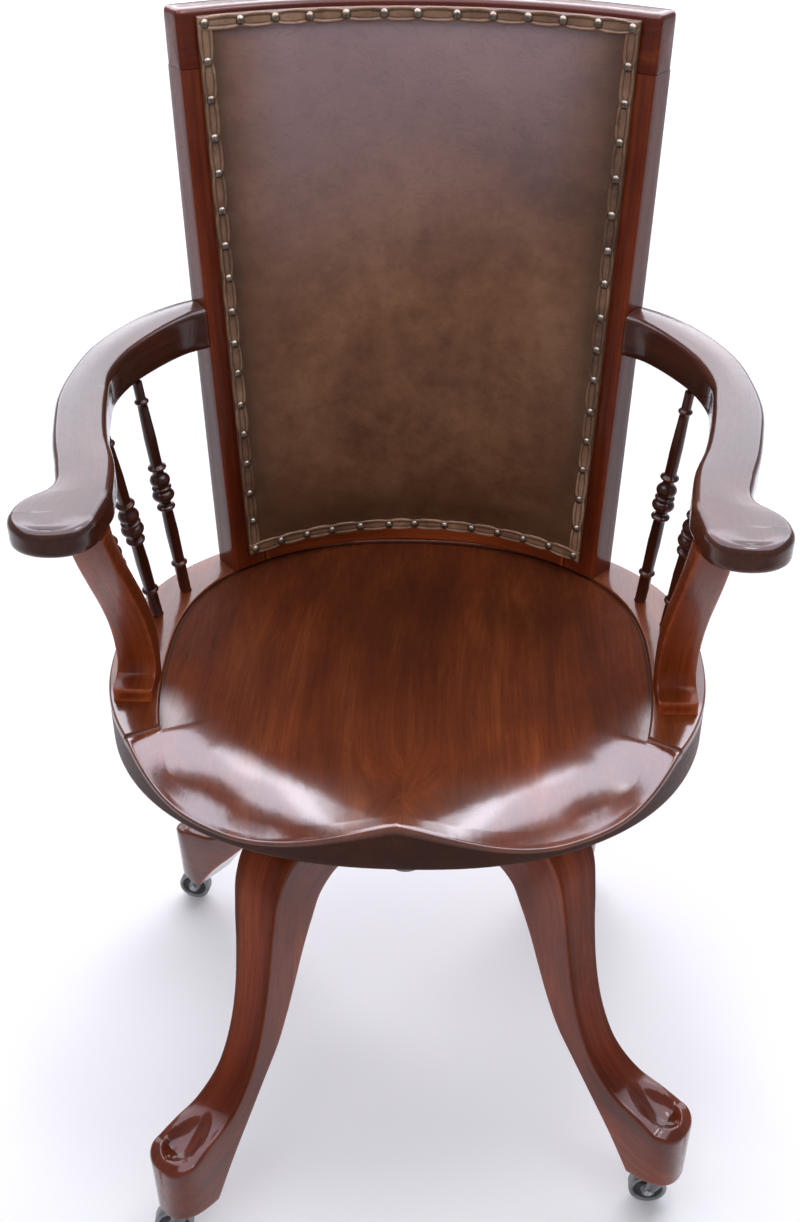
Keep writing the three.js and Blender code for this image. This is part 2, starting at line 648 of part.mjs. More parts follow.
chair.add(piece('seat_board', seatBoard(), mahogany));
chair.add(piece('seat_plate', seatPlate(), iron));
chair.add(piece('lift_screw', rod(SCREW_RADIUS, 266, SEAT_BOTTOM - GAP), steel));
chair.add(piece('top_rail', topRail(), mahogany));
chair.add(piece('bottom_rail', bottomRail(), paleMahogany));
chair.add(piece('back_board', backPanel(-8, 6), mahogany));
chair.add(piece('rear_cover', backPanel(-15, 5), leather));
chair.add(piece('leather_pad', leatherPad(), leather));
chair.add(piece('gimp_band', gimpBand(), gimpLeather));

const SPINDLES = [
  ['rear', [235, 156], [258, 140]],
  ['middle', [256, 110], [272, 51]],
  ['front', [267, 60], [268, -30]],
];
[['left', -1], ['right', 1]].forEach(([name, side]) => {
  chair.add(piece(`stile_${name}`, stile(side), mahogany));
  chair.add(piece(`arm_${name}`, arm(side), mahogany));
  chair.add(piece(`arm_support_${name}`, armSupport(side), paleMahogany));
  SPINDLES.forEach(([place, foot, head]) => {
    chair.add(piece(`spindle_${place}_${name}`, spindle(side, foot, head), mahogany));
  });
});

const base = new THREE.Group();
base.rotation.z = deg(BASE_TURN);
chair.add(base);
base.add(piece('hub', hub(), mahogany));
base.add(piece('hub_sleeve', hubSleeve(), iron));
base.add(piece('thrust_collar', washer(SCREW_RADIUS + 1, 34, FLANGE_TOP + GAP, COLLAR_TOP), steel));
base.add(piece('height_nut', heightNut(), iron));

// Corner of the base, its angle, and the way its castor trails at rest.
const CORNERS = [
  ['front_right', -45, 178], ['rear_right', 45, 190],
  ['rear_left', 135, 172], ['front_left', -135, 185],
];
CORNERS.forEach(([name, corner, trail]) => {
  const limb = new THREE.Group();
  limb.rotation.z = deg(corner);
  limb.add(piece(`leg_${name}`, leg(), mahogany));
  base.add(limb);
  const castor = new THREE.Group();
  castor.position.set(CASTOR_REACH, 0, 0);
  castor.rotation.z = deg(trail - corner - BASE_TURN);
  castor.add(piece(`castor_plate_${name}`, castorPlate(), iron));
  castor.add(piece(`castor_fork_${name}`, castorFork(), iron));
  castor.add(piece(`castor_wheel_${name}`, castorWheel(), steel));
  castor.add(piece(`castor_axle_${name}`, castorAxle(), steel));
  limb.add(castor);
});

export default chair;
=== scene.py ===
import json
import math
from collections import Counter

import bpy
import numpy as np
from mathutils import Matrix, Vector


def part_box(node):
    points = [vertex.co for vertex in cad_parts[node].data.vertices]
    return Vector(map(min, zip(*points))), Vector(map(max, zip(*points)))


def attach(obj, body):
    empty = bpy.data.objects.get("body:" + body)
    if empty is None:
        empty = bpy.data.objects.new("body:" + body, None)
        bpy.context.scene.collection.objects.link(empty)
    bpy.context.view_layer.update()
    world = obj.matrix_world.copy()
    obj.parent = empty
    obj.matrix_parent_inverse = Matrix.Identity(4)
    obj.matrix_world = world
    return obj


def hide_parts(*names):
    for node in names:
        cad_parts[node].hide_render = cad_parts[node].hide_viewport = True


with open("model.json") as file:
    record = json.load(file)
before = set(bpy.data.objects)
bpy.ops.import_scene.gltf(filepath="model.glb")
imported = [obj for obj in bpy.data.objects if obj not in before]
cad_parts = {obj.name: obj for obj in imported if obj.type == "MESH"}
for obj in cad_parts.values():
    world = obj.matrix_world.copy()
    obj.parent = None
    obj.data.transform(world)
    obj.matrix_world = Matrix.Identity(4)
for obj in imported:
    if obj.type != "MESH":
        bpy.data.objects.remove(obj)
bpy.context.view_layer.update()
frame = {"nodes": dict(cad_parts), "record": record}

# Shapes are drawn in millimetres about the swivel axis, and turned into metres in the shared frame.
SWIVEL = next(joint for joint in frame["record"]["behaviour"]["joints"] if joint["name"] == "seat_swivel")
AXIS = np.array(SWIVEL["pos_m"]) * [1, 1, 0]
RANDOM = np.random.default_rng(7)
SHORT_EDGE = 0.0003  # metres; shorter edges are left out where the bend of a surface is measured
FULL_BEND = 450  # the bend, per metre, that counts as a sharp edge
GAP = 0.3


def level(node, corner):
    """The height of a node's lowest (0) or highest (1) corner, in millimetres."""
    return round(float(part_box(node)[corner][2]) * 1000, 2)


SEAT_BOTTOM, SEAT_TOP = level("seat_board", 0), level("seat_board", 1)
SEAT = dict(centre=59, half=286, front=264, back=236)
DISH = dict(half=233, front=330, back=210)
DISH_LIMIT = 0.94  # the dish's greatest share of the board's radius
OVAL_POWER = 2.3
DISH_STEP = 3
DISH_DEPTH = 17
RIM_ROUND = 3.2
UNDER_ROUND = 3
ROLL_DROP = 38
ROLL_SPAN = 0.45  # share of the radius over which the front rolls down
ROLL_START = 1.22  # where that begins, in spans
HOLLOW_X = 150
RIM_END_X = 245
FRONT_FROM_Y = -115  # the edge in front of this has a fully rolled front
SIDES_FROM_Y = 15  # and behind this it has a flat rim
ROLLED = 0.9  # how far towards the front the flat rim ends

BACK_TOP = level("top_rail", 1)
TOP_RAIL = BACK_TOP - level("top_rail", 0)
BOTTOM_RAIL_TOP = level("bottom_rail", 1)
RAIL_DEPTH = 20
STILE_DEPTH = 34
STILE_OUT = 24
STILE_IN = 14
NAIL_LOW = 502
NAIL_HIGH = 1014
BACK_ANGLE_LOW = 39.5  # half the angle that the curved back covers at the seat, in degrees
BACK_ANGLE_TOP = 32  # and at the top
BACK_HALF_WIDTH_LOW = 171
BACK_HALF_WIDTH_TOP = 192
BACK_CORNER_Y = 211
BACK_LEAN = 0.0486  # how it leans backwards with height
BACK_BOW = 0.0000706  # and how that lean grows
ARC = 185
GIMP_HALF = 6.5
PAD_LEVEL = 3.8
PAD_MARGIN = 6
PAD_UNDER = 0.8  # the pad's back, in front of the stile faces
PAD_EDGE_ROUND = 2.5
CLOTH_LIMIT = 0.005  # metres; the furthest that the cloth may swell

ARM_TOP_FRONT = 737
ARM_TOP_BACK = 764
ARM_BOTTOM_FRONT = 713
ARM_BOTTOM_BACK = 724
ARM_HAND_Y = -150
ARM_BACK_Y = 230
ARM_LEVEL_TO_Y = -100  # the underside is level in front of this
ARM_TOP_ROUND = 6.5
ARM_LOW_ROUND = 4
ARM_END = (24.3, 744, -17)  # past the nail line, height, and depth behind the stile's face

BASE_TURN = 6.8
TOE_BOTTOM = 48
TOE_TOP = 122
TOE_HALF_WIDTH = 27
CASTOR_REACH = 331
AXLE_Z = 18.84
CASTOR_TRAIL = 10
# Each leg's direction from the middle of the base, and its castor's, in degrees.
CORNERS = {
    "front_right": (-45, 178),
    "rear_right": (45, 190),
    "rear_left": (135, 172),
    "front_left": (-135, 185)}


# ------------------------------------------------------------------ numbers
def mix(a, b, t):
    return a + (b - a) * t


def smooth(v, low, high):
    t = np.clip((v - low) / (high - low), 0, 1)
    return t * t * (3 - 2 * t)


def spline(points, count):
    """Centripetal Catmull-Rom through the points, the same number of steps in each span."""
    p = np.asarray(points, float)
    p = np.vstack([2 * p[0] - p[1], p, 2 * p[-1] - p[-2]])
    out = []
    for u in np.linspace(0, len(p) - 3, count):
        i = min(int(u), len(p) - 4)
        t = u - i
        d = [max(1e-4, np.linalg.norm(p[i + k + 1] - p[i + k]) ** 0.5) for k in range(3)]
        before, a, b, after = p[i:i + 4]
        leave = ((a - before) / d[0] - (b - before) / (d[0] + d[1]) + (b - a) / d[1]) * d[1]
        reach = ((b - a) / d[1] - (after - a) / (d[1] + d[2]) + (after - b) / d[2]) * d[1]
        out.append(
            a + leave * t + (-3 * a + 3 * b - 2 * leave - reach) * t**2
            + (2 * a - 2 * b + leave + reach) * t**3)
    return np.array(out)


def bezier(a, b, c, d, t):
    t = np.asarray(t, float)[:, None]
    a, b, c, d = (np.array(x, float) for x in (a, b, c, d))
    return a * (1 - t) ** 3 + 3 * b * t * (1 - t) ** 2 + 3 * c * t * t * (1 - t) + d * t**3


def rounded(half_x, half_y, radii, arc=4, edge=1):
    """Points round a rectangle with rounded corners, from the +x +y corner anticlockwise."""
    out = []
    corners = [(1, 1, 0), (-1, 1, 90), (-1, -1, 180), (1, -1, 270)]
    for (sx, sy, start), r in zip(corners, radii):
        for a in np.radians(np.linspace(start, start + 90, arc + 1)):
            out.append((sx * (half_x - r) + r * math.cos(a), sy * (half_y - r) + r * math.sin(a)))
    dense = []
    for k, point in enumerate(out):
        after = out[(k + 1) % len(out)]
        dense.append(point)
        if (k + 1) % (arc + 1) == 0:
            dense += [tuple(mix(np.array(point), np.array(after), j / edge)) for j in range(1, edge)]
    return np.array(dense)


def quarter(radius, angles):
    """Pairs of inset and drop round a quarter circle, at each angle."""
    return [(radius * (1 - math.sin(a)), radius * (1 - math.cos(a))) for a in angles]


def turn(points, degrees):
    a = math.radians(degrees)
    m = np.array([[math.cos(a), -math.sin(a), 0], [math.sin(a), math.cos(a), 0], [0, 0, 1]])
    return points @ m.T


# ------------------------------------------------------------------ shapes
def skin(rings, grain, looped=False, folded=False):
    """A closed surface through rings (rings, points, xyz), with its grain coordinates in millimetres.

    Its ends are closed by a fan, or straight across where the second half of a ring is folded
    under the first.
    """
    rings = np.asarray(rings, float)
    grain = np.broadcast_to(np.asarray(grain, float), rings.shape)
    n, m, _ = rings.shape
    spans = n if looped else n - 1
    i, j = np.meshgrid(np.arange(spans), np.arange(m), indexing="ij")
    a, b = (i * m + j).ravel(), (i * m + (j + 1) % m).ravel()
    c, d = (((i + 1) % n) * m + (j + 1) % m).ravel(), (((i + 1) % n) * m + j).ravel()
    faces = np.stack([a, b, c, d], 1).tolist()
    verts, lay = rings.reshape(-1, 3), grain.reshape(-1, 3)
    if folded:
        for end in (0, n - 1):
            for k in range(m // 2 - 1):
                face = [end * m + k, end * m + k + 1, end * m + m - 2 - k, end * m + m - 1 - k]
                faces.append(face[::-1] if end == 0 else face)
    elif not looped:
        for end in (0, n - 1):
            hub = len(verts)
            verts = np.vstack([verts, rings[end].mean(0)])
            lay = np.vstack([lay, grain[end].mean(0)])
            for k in range(m):
                x, y = end * m + k, end * m + (k + 1) % m
                faces.append([hub, y, x] if end == 0 else [hub, x, y])
    first, second, third = (verts[[f[k] for f in faces]] for k in (0, 1, 2))
    volume = np.einsum("ij,ij->i", first, np.cross(second, third)).sum()
    quads = [f for f in faces if len(f) == 4]
    if quads:
        p, q, r = (verts[[f[k] for f in quads]] for k in (0, 2, 3))
        volume += np.einsum("ij,ij->i", p, np.cross(q, r)).sum()
    if volume < 0:
        faces = [f[::-1] for f in faces]
    return verts, faces, lay


def welded(shape):
    """Joins points that coincide, as where a ring closes to a tip, and drops what becomes empty."""
    verts, faces, lay = shape
    places = np.round(verts / 0.02).astype(np.int64)
    _, first, which = np.unique(places, axis=0, return_index=True, return_inverse=True)
    faces = [[int(k) for k in which.ravel()[face]] for face in faces]
    faces = [[k for i, k in enumerate(face) if k != face[i - 1]] for face in faces]
    faces = [face for face in faces if len(set(face)) == len(face) > 2]
    times = Counter(tuple(sorted(face)) for face in faces)
    return verts[first], [face for face in faces if times[tuple(sorted(face))] == 1], lay[first], first


def together(*shapes):
    verts, faces, lay, start = [], [], [], 0
    for v, f, g in shapes:
        verts.append(v)
        lay.append(g)
        faces += [[k + start for k in face] for face in f]
        start += len(v)
    return np.vstack(verts), faces, np.vstack(lay)


def upended(shape, up=0.0, along=0.0):
    """A shape with its Y and Z exchanged and its faces turned to match, then moved along X and up."""
    verts, faces, lay = shape
    return verts[:, [0, 2, 1]] + [along, 0, up], [face[::-1] for face in faces], lay


def lathe(profile, segments=48):
    """A turned piece about Z from (radius, height) pairs. Grain runs along the axis."""
    p = np.array(profile, float)
    a = np.linspace(0, 2 * math.pi, segments, endpoint=False)
    r = p[:, :1]
    rings = np.stack([r * np.cos(a), r * np.sin(a), np.broadcast_to(p[:, 1:], (len(p), segments))], 2)
    return skin(rings, rings[:, :, [2, 0, 1]])


def ring_lathe(profile, segments=48):
    """A turned ring about Z from a closed profile of (radius, height) pairs."""
    p = np.array(profile, float)
    a = np.linspace(0, 2 * math.pi, segments, endpoint=False)
    z = np.broadcast_to(p[None, :, 1], (segments, len(p)))
    rings = np.stack([np.cos(a)[:, None] * p[None, :, 0], np.sin(a)[:, None] * p[None, :, 0], z], 2)
    return skin(rings, rings[:, :, [2, 0, 1]], looped=True)


def slab(outline, low, high, bevel, parts=3):
    """An outline (x, y) extruded from low to high, with rounded edges."""
    o = np.array(outline, float)
    area = np.sum(o[:, 0] * np.roll(o[:, 1], -1) - np.roll(o[:, 0], -1) * o[:, 1])
    if area < 0:
        o = o[::-1]
    ahead, behind = np.roll(o, -1, 0) - o, o - np.roll(o, 1, 0)
    ahead /= np.linalg.norm(ahead, axis=1)[:, None]
    behind /= np.linalg.norm(behind, axis=1)[:, None]
    normal = np.stack([(ahead + behind)[:, 1], -(ahead + behind)[:, 0]], 1)
    normal /= np.linalg.norm(normal, axis=1)[:, None]
    reach = 1 / np.maximum(0.5, normal[:, 0] * ahead[:, 1] - normal[:, 1] * ahead[:, 0])
    rings = [(inset, low + drop) for inset, drop in quarter(bevel, np.linspace(0, math.pi / 2, parts + 1))]
    rings += [(inset, high - drop) for inset, drop in quarter(bevel, np.linspace(math.pi / 2, 0, parts + 1))]
    out = []
    for inset, z in rings:
        flat = o - normal * (inset * reach)[:, None]
        out.append(np.column_stack([flat, np.full(len(o), z)]))
    out = np.array(out)
    return skin(out, out)


def piece(name, shape, material, body, nodes=(), sharp=40, extra=None, on_base=None):
    """Makes the mesh object with its grain and bend attributes, parents it to its body, gives it its
    material, and hides the nodes that it replaces.
    """
    verts, faces, lay, first = welded(shape)
    if on_base is not None:
        verts = turn(verts, on_base)
    data = bpy.data.meshes.new(name)
    data.from_pydata((verts * 0.001 + AXIS).tolist(), [], faces)
    data.materials.append(material)
    data.shade_smooth()
    data.set_sharp_from_angle(angle=math.radians(sharp))
    count = len(data.vertices)
    grain = data.attributes.new("grain", "FLOAT_VECTOR", "POINT")
    grain.data.foreach_set("vector", (lay * 0.001).astype(np.float32).ravel())
    place, facing = np.zeros(count * 3), np.zeros(count * 3)
    data.vertices.foreach_get("co", place)
    data.vertices.foreach_get("normal", facing)
    place, facing = place.reshape(-1, 3), facing.reshape(-1, 3)
    ends = np.zeros(len(data.edges) * 2, int)
    data.edges.foreach_get("vertices", ends)
    a, b = ends.reshape(-1, 2).T
    a, b = (k[np.linalg.norm(place[b] - place[a], axis=1) > SHORT_EDGE] for k in (a, b))
    step = place[b] - place[a]
    square = np.maximum(1e-9, np.einsum("ij,ij->i", step, step))
    bend = np.einsum("ij,ij->i", facing[b] - facing[a], step) / square
    most = np.zeros(count)
    least = np.zeros(count)
    for k in (a, b):
        np.maximum.at(most, k, bend)
        np.minimum.at(least, k, bend)
    measures = {"curve": np.clip((most + least) / FULL_BEND, -1, 1)}
    measures.update({key: np.asarray(values)[first] for key, values in (extra or {}).items()})
    for key, values in measures.items():
        attribute = data.attributes.new(key, "FLOAT", "POINT")
        attribute.data.foreach_set("value", values.astype(np.float32))
    made = bpy.data.objects.new(name, data)
    bpy.context.scene.collection.objects.link(made)
    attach(made, body)
    if nodes:
        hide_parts(*nodes)
    return made


# ------------------------------------------------------------------ materials
class Look:
    """A node material that is built up a node at a time."""

    def __init__(self, name):
        self.material = bpy.data.materials.new(name)
        self.material.use_nodes = True
        self.tree = self.material.node_tree
        self.shader = self.tree.nodes["Principled BSDF"]

    def add(self, kind, inputs=None, out=0, **settings):
        node = self.tree.nodes.new("ShaderNode" + kind)
        for key, value in settings.items():
            setattr(node, key, value)
        for key, value in (inputs or {}).items():
            if isinstance(value, bpy.types.NodeSocket):
                self.tree.links.new(value, node.inputs[key])
            else:
                node.inputs[key].default_value = value
        return node.outputs[out]

    def maths(self, operation, a, b=0.5, clamp=False):
        return self.add("Math", {0: a, 1: b}, operation=operation, use_clamp=clamp)

    def noise(self, vector, stretch, detail=3.0, rough=0.55, warp=0.0, shift=0.0):
        start = (shift, shift * 0.7, shift * 1.3)
        place = self.add("Mapping", {"Vector": vector, "Scale": stretch, "Location": start})
        return self.add("TexNoise", {
            "Vector": place, "Scale": 1.0, "Detail": detail, "Roughness": rough, "Distortion": warp})

    def ramp(self, factor, *stops, out=0):
        node = self.tree.nodes.new("ShaderNodeValToRGB")
        while len(node.color_ramp.elements) < len(stops):
            node.color_ramp.elements.new(0.5)
        for element, (at, colour) in zip(node.color_ramp.elements, stops):
            element.position = at
            element.color = (*colour, 1) if hasattr(colour, "__len__") else (colour, colour, colour, 1)
        self.tree.links.new(factor, node.inputs[0])
        return node.outputs[out]

    def blend(self, factor, a, b, kind="MIX"):
        def socket(value):
            return value if isinstance(value, bpy.types.NodeSocket) else (*value, 1)
        inputs = {0: factor, 6: socket(a), 7: socket(b)}
        return self.add("Mix", inputs, out=2, data_type="RGBA", blend_type=kind)

    def bump(self, height, distance, strength=1.0, normal=None):
        inputs = {"Height": height, "Distance": distance, "Strength": strength}
        if normal is not None:
            inputs["Normal"] = normal
        return self.add("Bump", inputs)

    def attribute(self, name, out="Vector"):
        node = self.tree.nodes.new("ShaderNodeAttribute")
        node.attribute_name = name
        return node.outputs[out]

    def finish(self, **sockets):
        for key, value in sockets.items():
            key = key.replace("_", " ")
            if isinstance(value, bpy.types.NodeSocket):
                self.tree.links.new(value, self.shader.inputs[key])
            else:
                self.shader.inputs[key].default_value = value
        return self.material


def wood(name, dark, middle, light, shift=0.0, coat=1.0, polish=0.11, grain_from=None, gloss=1.38, rub=0.5):
    """French-polished mahogany: banded grain, open pores, rubbed edges and dark crevices.

    The dark crevices are painted shade. Without a coat weight, the piece's own waxed attribute says where the
    polish is left, and another attribute where painted shade darkens it.
    """
    look = Look(name)
    at = look.attribute("grain") if grain_from is None else look.add("TexCoord", out=3)
    bands = look.noise(at, (3.0, 30, 30), 5, 0.6, 0.5, shift)
    streaks = look.noise(at, (9, 260, 260), 4, 0.65, 0.2, shift + 3)
    clouds = look.noise(at, (4, 7, 7), 3, 0.5, 0.3, shift + 9)
    flecks = look.noise(at, (55, 1100, 1100), 2, 0.5, 0, shift + 5)
    figure = look.maths("ADD", look.maths("MULTIPLY", bands, 0.62), look.maths("MULTIPLY", streaks, 0.38))
    colour = look.ramp(figure, (0.36, dark), (0.52, middle), (0.66, light))
    shade = look.ramp(clouds, (0.3, 0.62), (0.7, 1.25))
    colour = look.blend(1.0, colour, shade, "MULTIPLY")
    pores = look.ramp(flecks, (0.585, 0.0), (0.66, 1.0))
    colour = look.blend(look.maths("MULTIPLY", pores, 0.18), colour, tuple(c * 0.3 for c in dark))
    bend = look.attribute("curve", "Fac")
    shadow = look.ramp(look.noise(at, (5, 9, 9), 2, 0.5, 0.6, shift + 13), (0.4, 0.0), (0.62, 1.0))
    colour = look.blend(look.maths("MULTIPLY", shadow, 0.45), colour, tuple(c * 0.45 for c in dark))
    patchy = look.ramp(look.noise(at, (60, 60, 60), 3, 0.6, 0, shift + 1), (0.35, 0.25), (0.65, 1.0))
    rubbed = look.maths("MULTIPLY", look.ramp(bend, (0.3, 0.0), (0.95, 1.0)), patchy)
    colour = look.blend(look.maths("MULTIPLY", rubbed, rub), colour, tuple(min(1, c * 1.5) for c in light))
    # Painted shade: concave crevices are darkened towards black.
    crevice_shade = look.ramp(look.maths("MULTIPLY", bend, -1.0), (0.08, 0.0), (0.6, 1.0))
    colour = look.blend(look.maths("MULTIPLY", crevice_shade, 0.6), colour, (0.014, 0.005, 0.003))
    ripple = look.noise(at, (9, 22, 22), 2, 0.5, 0, shift + 4)
    dents = look.noise(at, (140, 170, 170), 3, 0.55, 0, shift + 6)
    wave = look.bump(ripple, 0.0008, 0.5)
    wave = look.bump(dents, 0.00012, 0.5, wave)
    full = look.bump(pores, 0.00010, -0.4, wave)
    uneven = look.ramp(dents, (0.3, 0.26), (0.75, 0.44))
    rough = look.maths("ADD", uneven, look.maths("MULTIPLY", pores, 0.15))
    if coat is None:
        coat = look.attribute("waxed", "Fac")
        rough = look.maths("ADD", rough, look.maths("MULTIPLY", look.maths("SUBTRACT", 1.0, coat), 0.25))
        # Painted shade: this attribute darkens the colour where the piece sets it.
        painted_shade = look.attribute("painted_shade", "Fac")
        colour = look.blend(look.maths("MULTIPLY", painted_shade, 0.8), colour, (0.020, 0.0055, 0.0018))
    return look.finish(
        Base_Color=colour, Roughness=rough, Normal=full, Coat_Normal=wave,
        Specular_IOR_Level=0.06, Coat_Weight=coat, Coat_Roughness=polish, Coat_IOR=gloss)


def hide(name, dark, middle, light, sheen=0.04, edge=True):
    """Old waxed leather: mottled colour, pebbled grain, fine creases, and darker edges or folds."""
    look = Look(name)
    at = look.attribute("grain")
    clouds = look.noise(at, (7, 7, 7), 5, 0.62, 0.4, 2)
    speck = look.noise(at, (55, 55, 55), 4, 0.65, 0, 4)
    tone = look.maths("ADD", look.maths("MULTIPLY", clouds, 0.7), look.maths("MULTIPLY", speck, 0.3))
    colour = look.ramp(tone, (0.36, dark), (0.5, middle), (0.64, light))
    if edge:
        # Painted shade: this attribute darkens the colour where the piece sets it.
        painted_shade = look.attribute("painted_shade", "Fac")
        colour = look.blend(look.maths("MULTIPLY", painted_shade, 0.72), colour, tuple(c * 0.42 for c in dark))
        # A painted sheen, with some real fading: this attribute turns the colour lavender grey.
        sheen_and_fading = look.attribute("sheen_and_fading", "Fac")
        colour = look.blend(look.maths("MULTIPLY", sheen_and_fading, 0.6), colour, (0.300, 0.215, 0.250))
    close = look.add("Mapping", {"Vector": at, "Scale": (560, 560, 560)})
    pebble = look.add("TexVoronoi", {"Vector": close, "Scale": 1.0}, feature="SMOOTH_F1")
    wrinkle = look.noise(at, (36, 60, 60), 4, 0.6, 1.6, 8)
    crease = look.ramp(look.maths("ABSOLUTE", look.maths("SUBTRACT", wrinkle, 0.5)), (0.0, 0.0), (0.035, 1.0))
    colour = look.blend(look.maths("MULTIPLY", look.maths("SUBTRACT", 1.0, crease), 0.16), colour,
                        tuple(c * 0.4 for c in dark))
    normal = look.bump(crease, 0.00014, 0.4)
    normal = look.bump(look.maths("MULTIPLY", pebble, -1.0), 0.00022, 0.45, normal)
    rough = look.ramp(tone, (0.35, 0.36), (0.65, 0.5))
    if not edge:
        # Painted shade: concave folds and creases are darkened.
        inward = look.maths("MULTIPLY", look.attribute("curve", "Fac"), -1.0)
        deep = look.ramp(inward, (0.02, 0.0), (0.5, 1.0))
        colour = look.blend(look.maths("MULTIPLY", deep, 0.6), colour, tuple(c * 0.3 for c in dark))
    return look.finish(
        Base_Color=colour, Roughness=rough, Normal=normal, Specular_IOR_Level=0.5,
        Sheen_Weight=sheen, Sheen_Roughness=0.45)


def metal(name, dark, light, rust, rough=(0.3, 0.55), grime=0.5, scale=1.0, solid=None):
    """Aged metal: tarnish in patches, grime in the recesses, bright rubbed edges."""
    look = Look(name)
    at = look.attribute("grain") if solid is None else look.add("TexCoord", out=3)
    clouds = look.noise(at, (70 * scale,) * 3, 5, 0.65, 0.3, 3)
    spots = look.noise(at, (320 * scale,) * 3, 3, 0.6, 0, 6)
    colour = look.ramp(clouds, (0.35, dark), (0.65, light))
    spotted = look.ramp(spots, (0.5, 0.0), (0.68, 1.0))
    colour = look.blend(look.maths("MULTIPLY", spotted, grime), colour, rust)
    bend = look.attribute("curve", "Fac")
    rubbed = look.ramp(bend, (0.35, 0.0), (1.0, 1.0))
    colour = look.blend(look.maths("MULTIPLY", rubbed, 0.35), colour, tuple(min(1, c * 1.35) for c in light))
    deep = look.ramp(look.maths("MULTIPLY", bend, -1.0), (0.05, 0.0), (0.6, 1.0))
    colour = look.blend(look.maths("MULTIPLY", deep, 0.8), colour, tuple(c * 0.3 for c in rust))
    normal = look.bump(spots, 0.00018, 0.5)
    return look.finish(
        Base_Color=colour, Metallic=0.9, Roughness=look.ramp(clouds, (0.3, rough[0]), (0.7, rough[1])),
        Normal=normal)


SEAT_WOOD = wood(
    "seat_mahogany", (0.100, 0.0185, 0.0042), (0.165, 0.0330, 0.0070), (0.250, 0.062, 0.0130),
    coat=None, polish=0.16, gloss=1.95, rub=0.12)
FRAME_WOOD = wood(
    "frame_mahogany", (0.080, 0.0115, 0.0040), (0.140, 0.0215, 0.0060), (0.220, 0.042, 0.012),
    shift=11.0, coat=0.7, polish=0.12)
WARM_WOOD = wood(
    "warm_mahogany", (0.140, 0.0220, 0.0055), (0.240, 0.0440, 0.0110), (0.34, 0.074, 0.0190),
    shift=23.0, coat=0.3, polish=0.14)
ARM_WOOD = wood(
    "arm_mahogany", (0.036, 0.0085, 0.0045), (0.062, 0.0160, 0.0080), (0.100, 0.029, 0.013),
    shift=37.0, polish=0.14, gloss=1.46)
LEG_WOOD = wood(
    "leg_mahogany", (0.105, 0.0170, 0.0060), (0.180, 0.0310, 0.0100), (0.260, 0.054, 0.016),
    shift=51.0, coat=None, polish=0.12)
TURNED_WOOD = wood(
    "turned_mahogany", (0.030, 0.0070, 0.0035), (0.065, 0.0150, 0.0065), (0.105, 0.029, 0.011), shift=67.0)
INNER_WOOD = wood(
    "inner_wood", (0.06, 0.025, 0.012), (0.11, 0.05, 0.022), (0.17, 0.085, 0.04),
    shift=5.0, coat=0.2, polish=0.4, grain_from="own")
LEATHER = hide("brown_leather", (0.120, 0.0460, 0.0180), (0.205, 0.0880, 0.0380), (0.280, 0.135, 0.0640))
REAR_LEATHER = hide(
    "rear_leather", (0.100, 0.046, 0.026), (0.170, 0.085, 0.050), (0.240, 0.135, 0.085), edge=False)
GIMP_LEATHER = hide(
    "gimp_leather", (0.090, 0.0400, 0.0200), (0.230, 0.1200, 0.0660), (0.380, 0.230, 0.140), edge=False)
BRASS = metal(
    "aged_brass", (0.13, 0.100, 0.075), (0.31, 0.26, 0.205), (0.06, 0.040, 0.028), (0.24, 0.38), 0.4, 3.0)
IRON = metal("dull_iron", (0.10, 0.095, 0.10), (0.22, 0.215, 0.225), (0.10, 0.05, 0.025))
STEEL = metal("worn_steel", (0.25, 0.25, 0.255), (0.50, 0.50, 0.51), (0.14, 0.09, 0.06), (0.22, 0.42), 0.35)
WHEEL = metal("castor_metal", (0.13, 0.135, 0.14), (0.30, 0.31, 0.32), (0.09, 0.075, 0.06), (0.35, 0.6), 0.4)
PLAIN_IRON = metal("hidden_iron", (0.10, 0.095, 0.10), (0.22, 0.215, 0.225), (0.10, 0.05, 0.025), solid="own")


# ------------------------------------------------------------------ seat
def oval(shape, angle):
    across = np.abs(np.cos(angle)) / shape["half"]
    along = np.abs(np.sin(angle)) / np.where(np.sin(angle) < 0, shape["front"], shape["back"])
    return (across**OVAL_POWER + along**OVAL_POWER) ** (-1 / OVAL_POWER)


def front_drop(x):
    out = np.abs(x)
    hollow = mix(-2, ROLL_DROP, np.sin(math.pi / 2 * np.minimum(1, out / HOLLOW_X) ** 1.2))
    fade = np.clip((out - HOLLOW_X) / (RIM_END_X - HOLLOW_X), 0, 1)
    return np.where(out < HOLLOW_X, hollow, mix(DISH_STEP, ROLL_DROP, np.cos(math.pi / 2 * fade**1.8)))


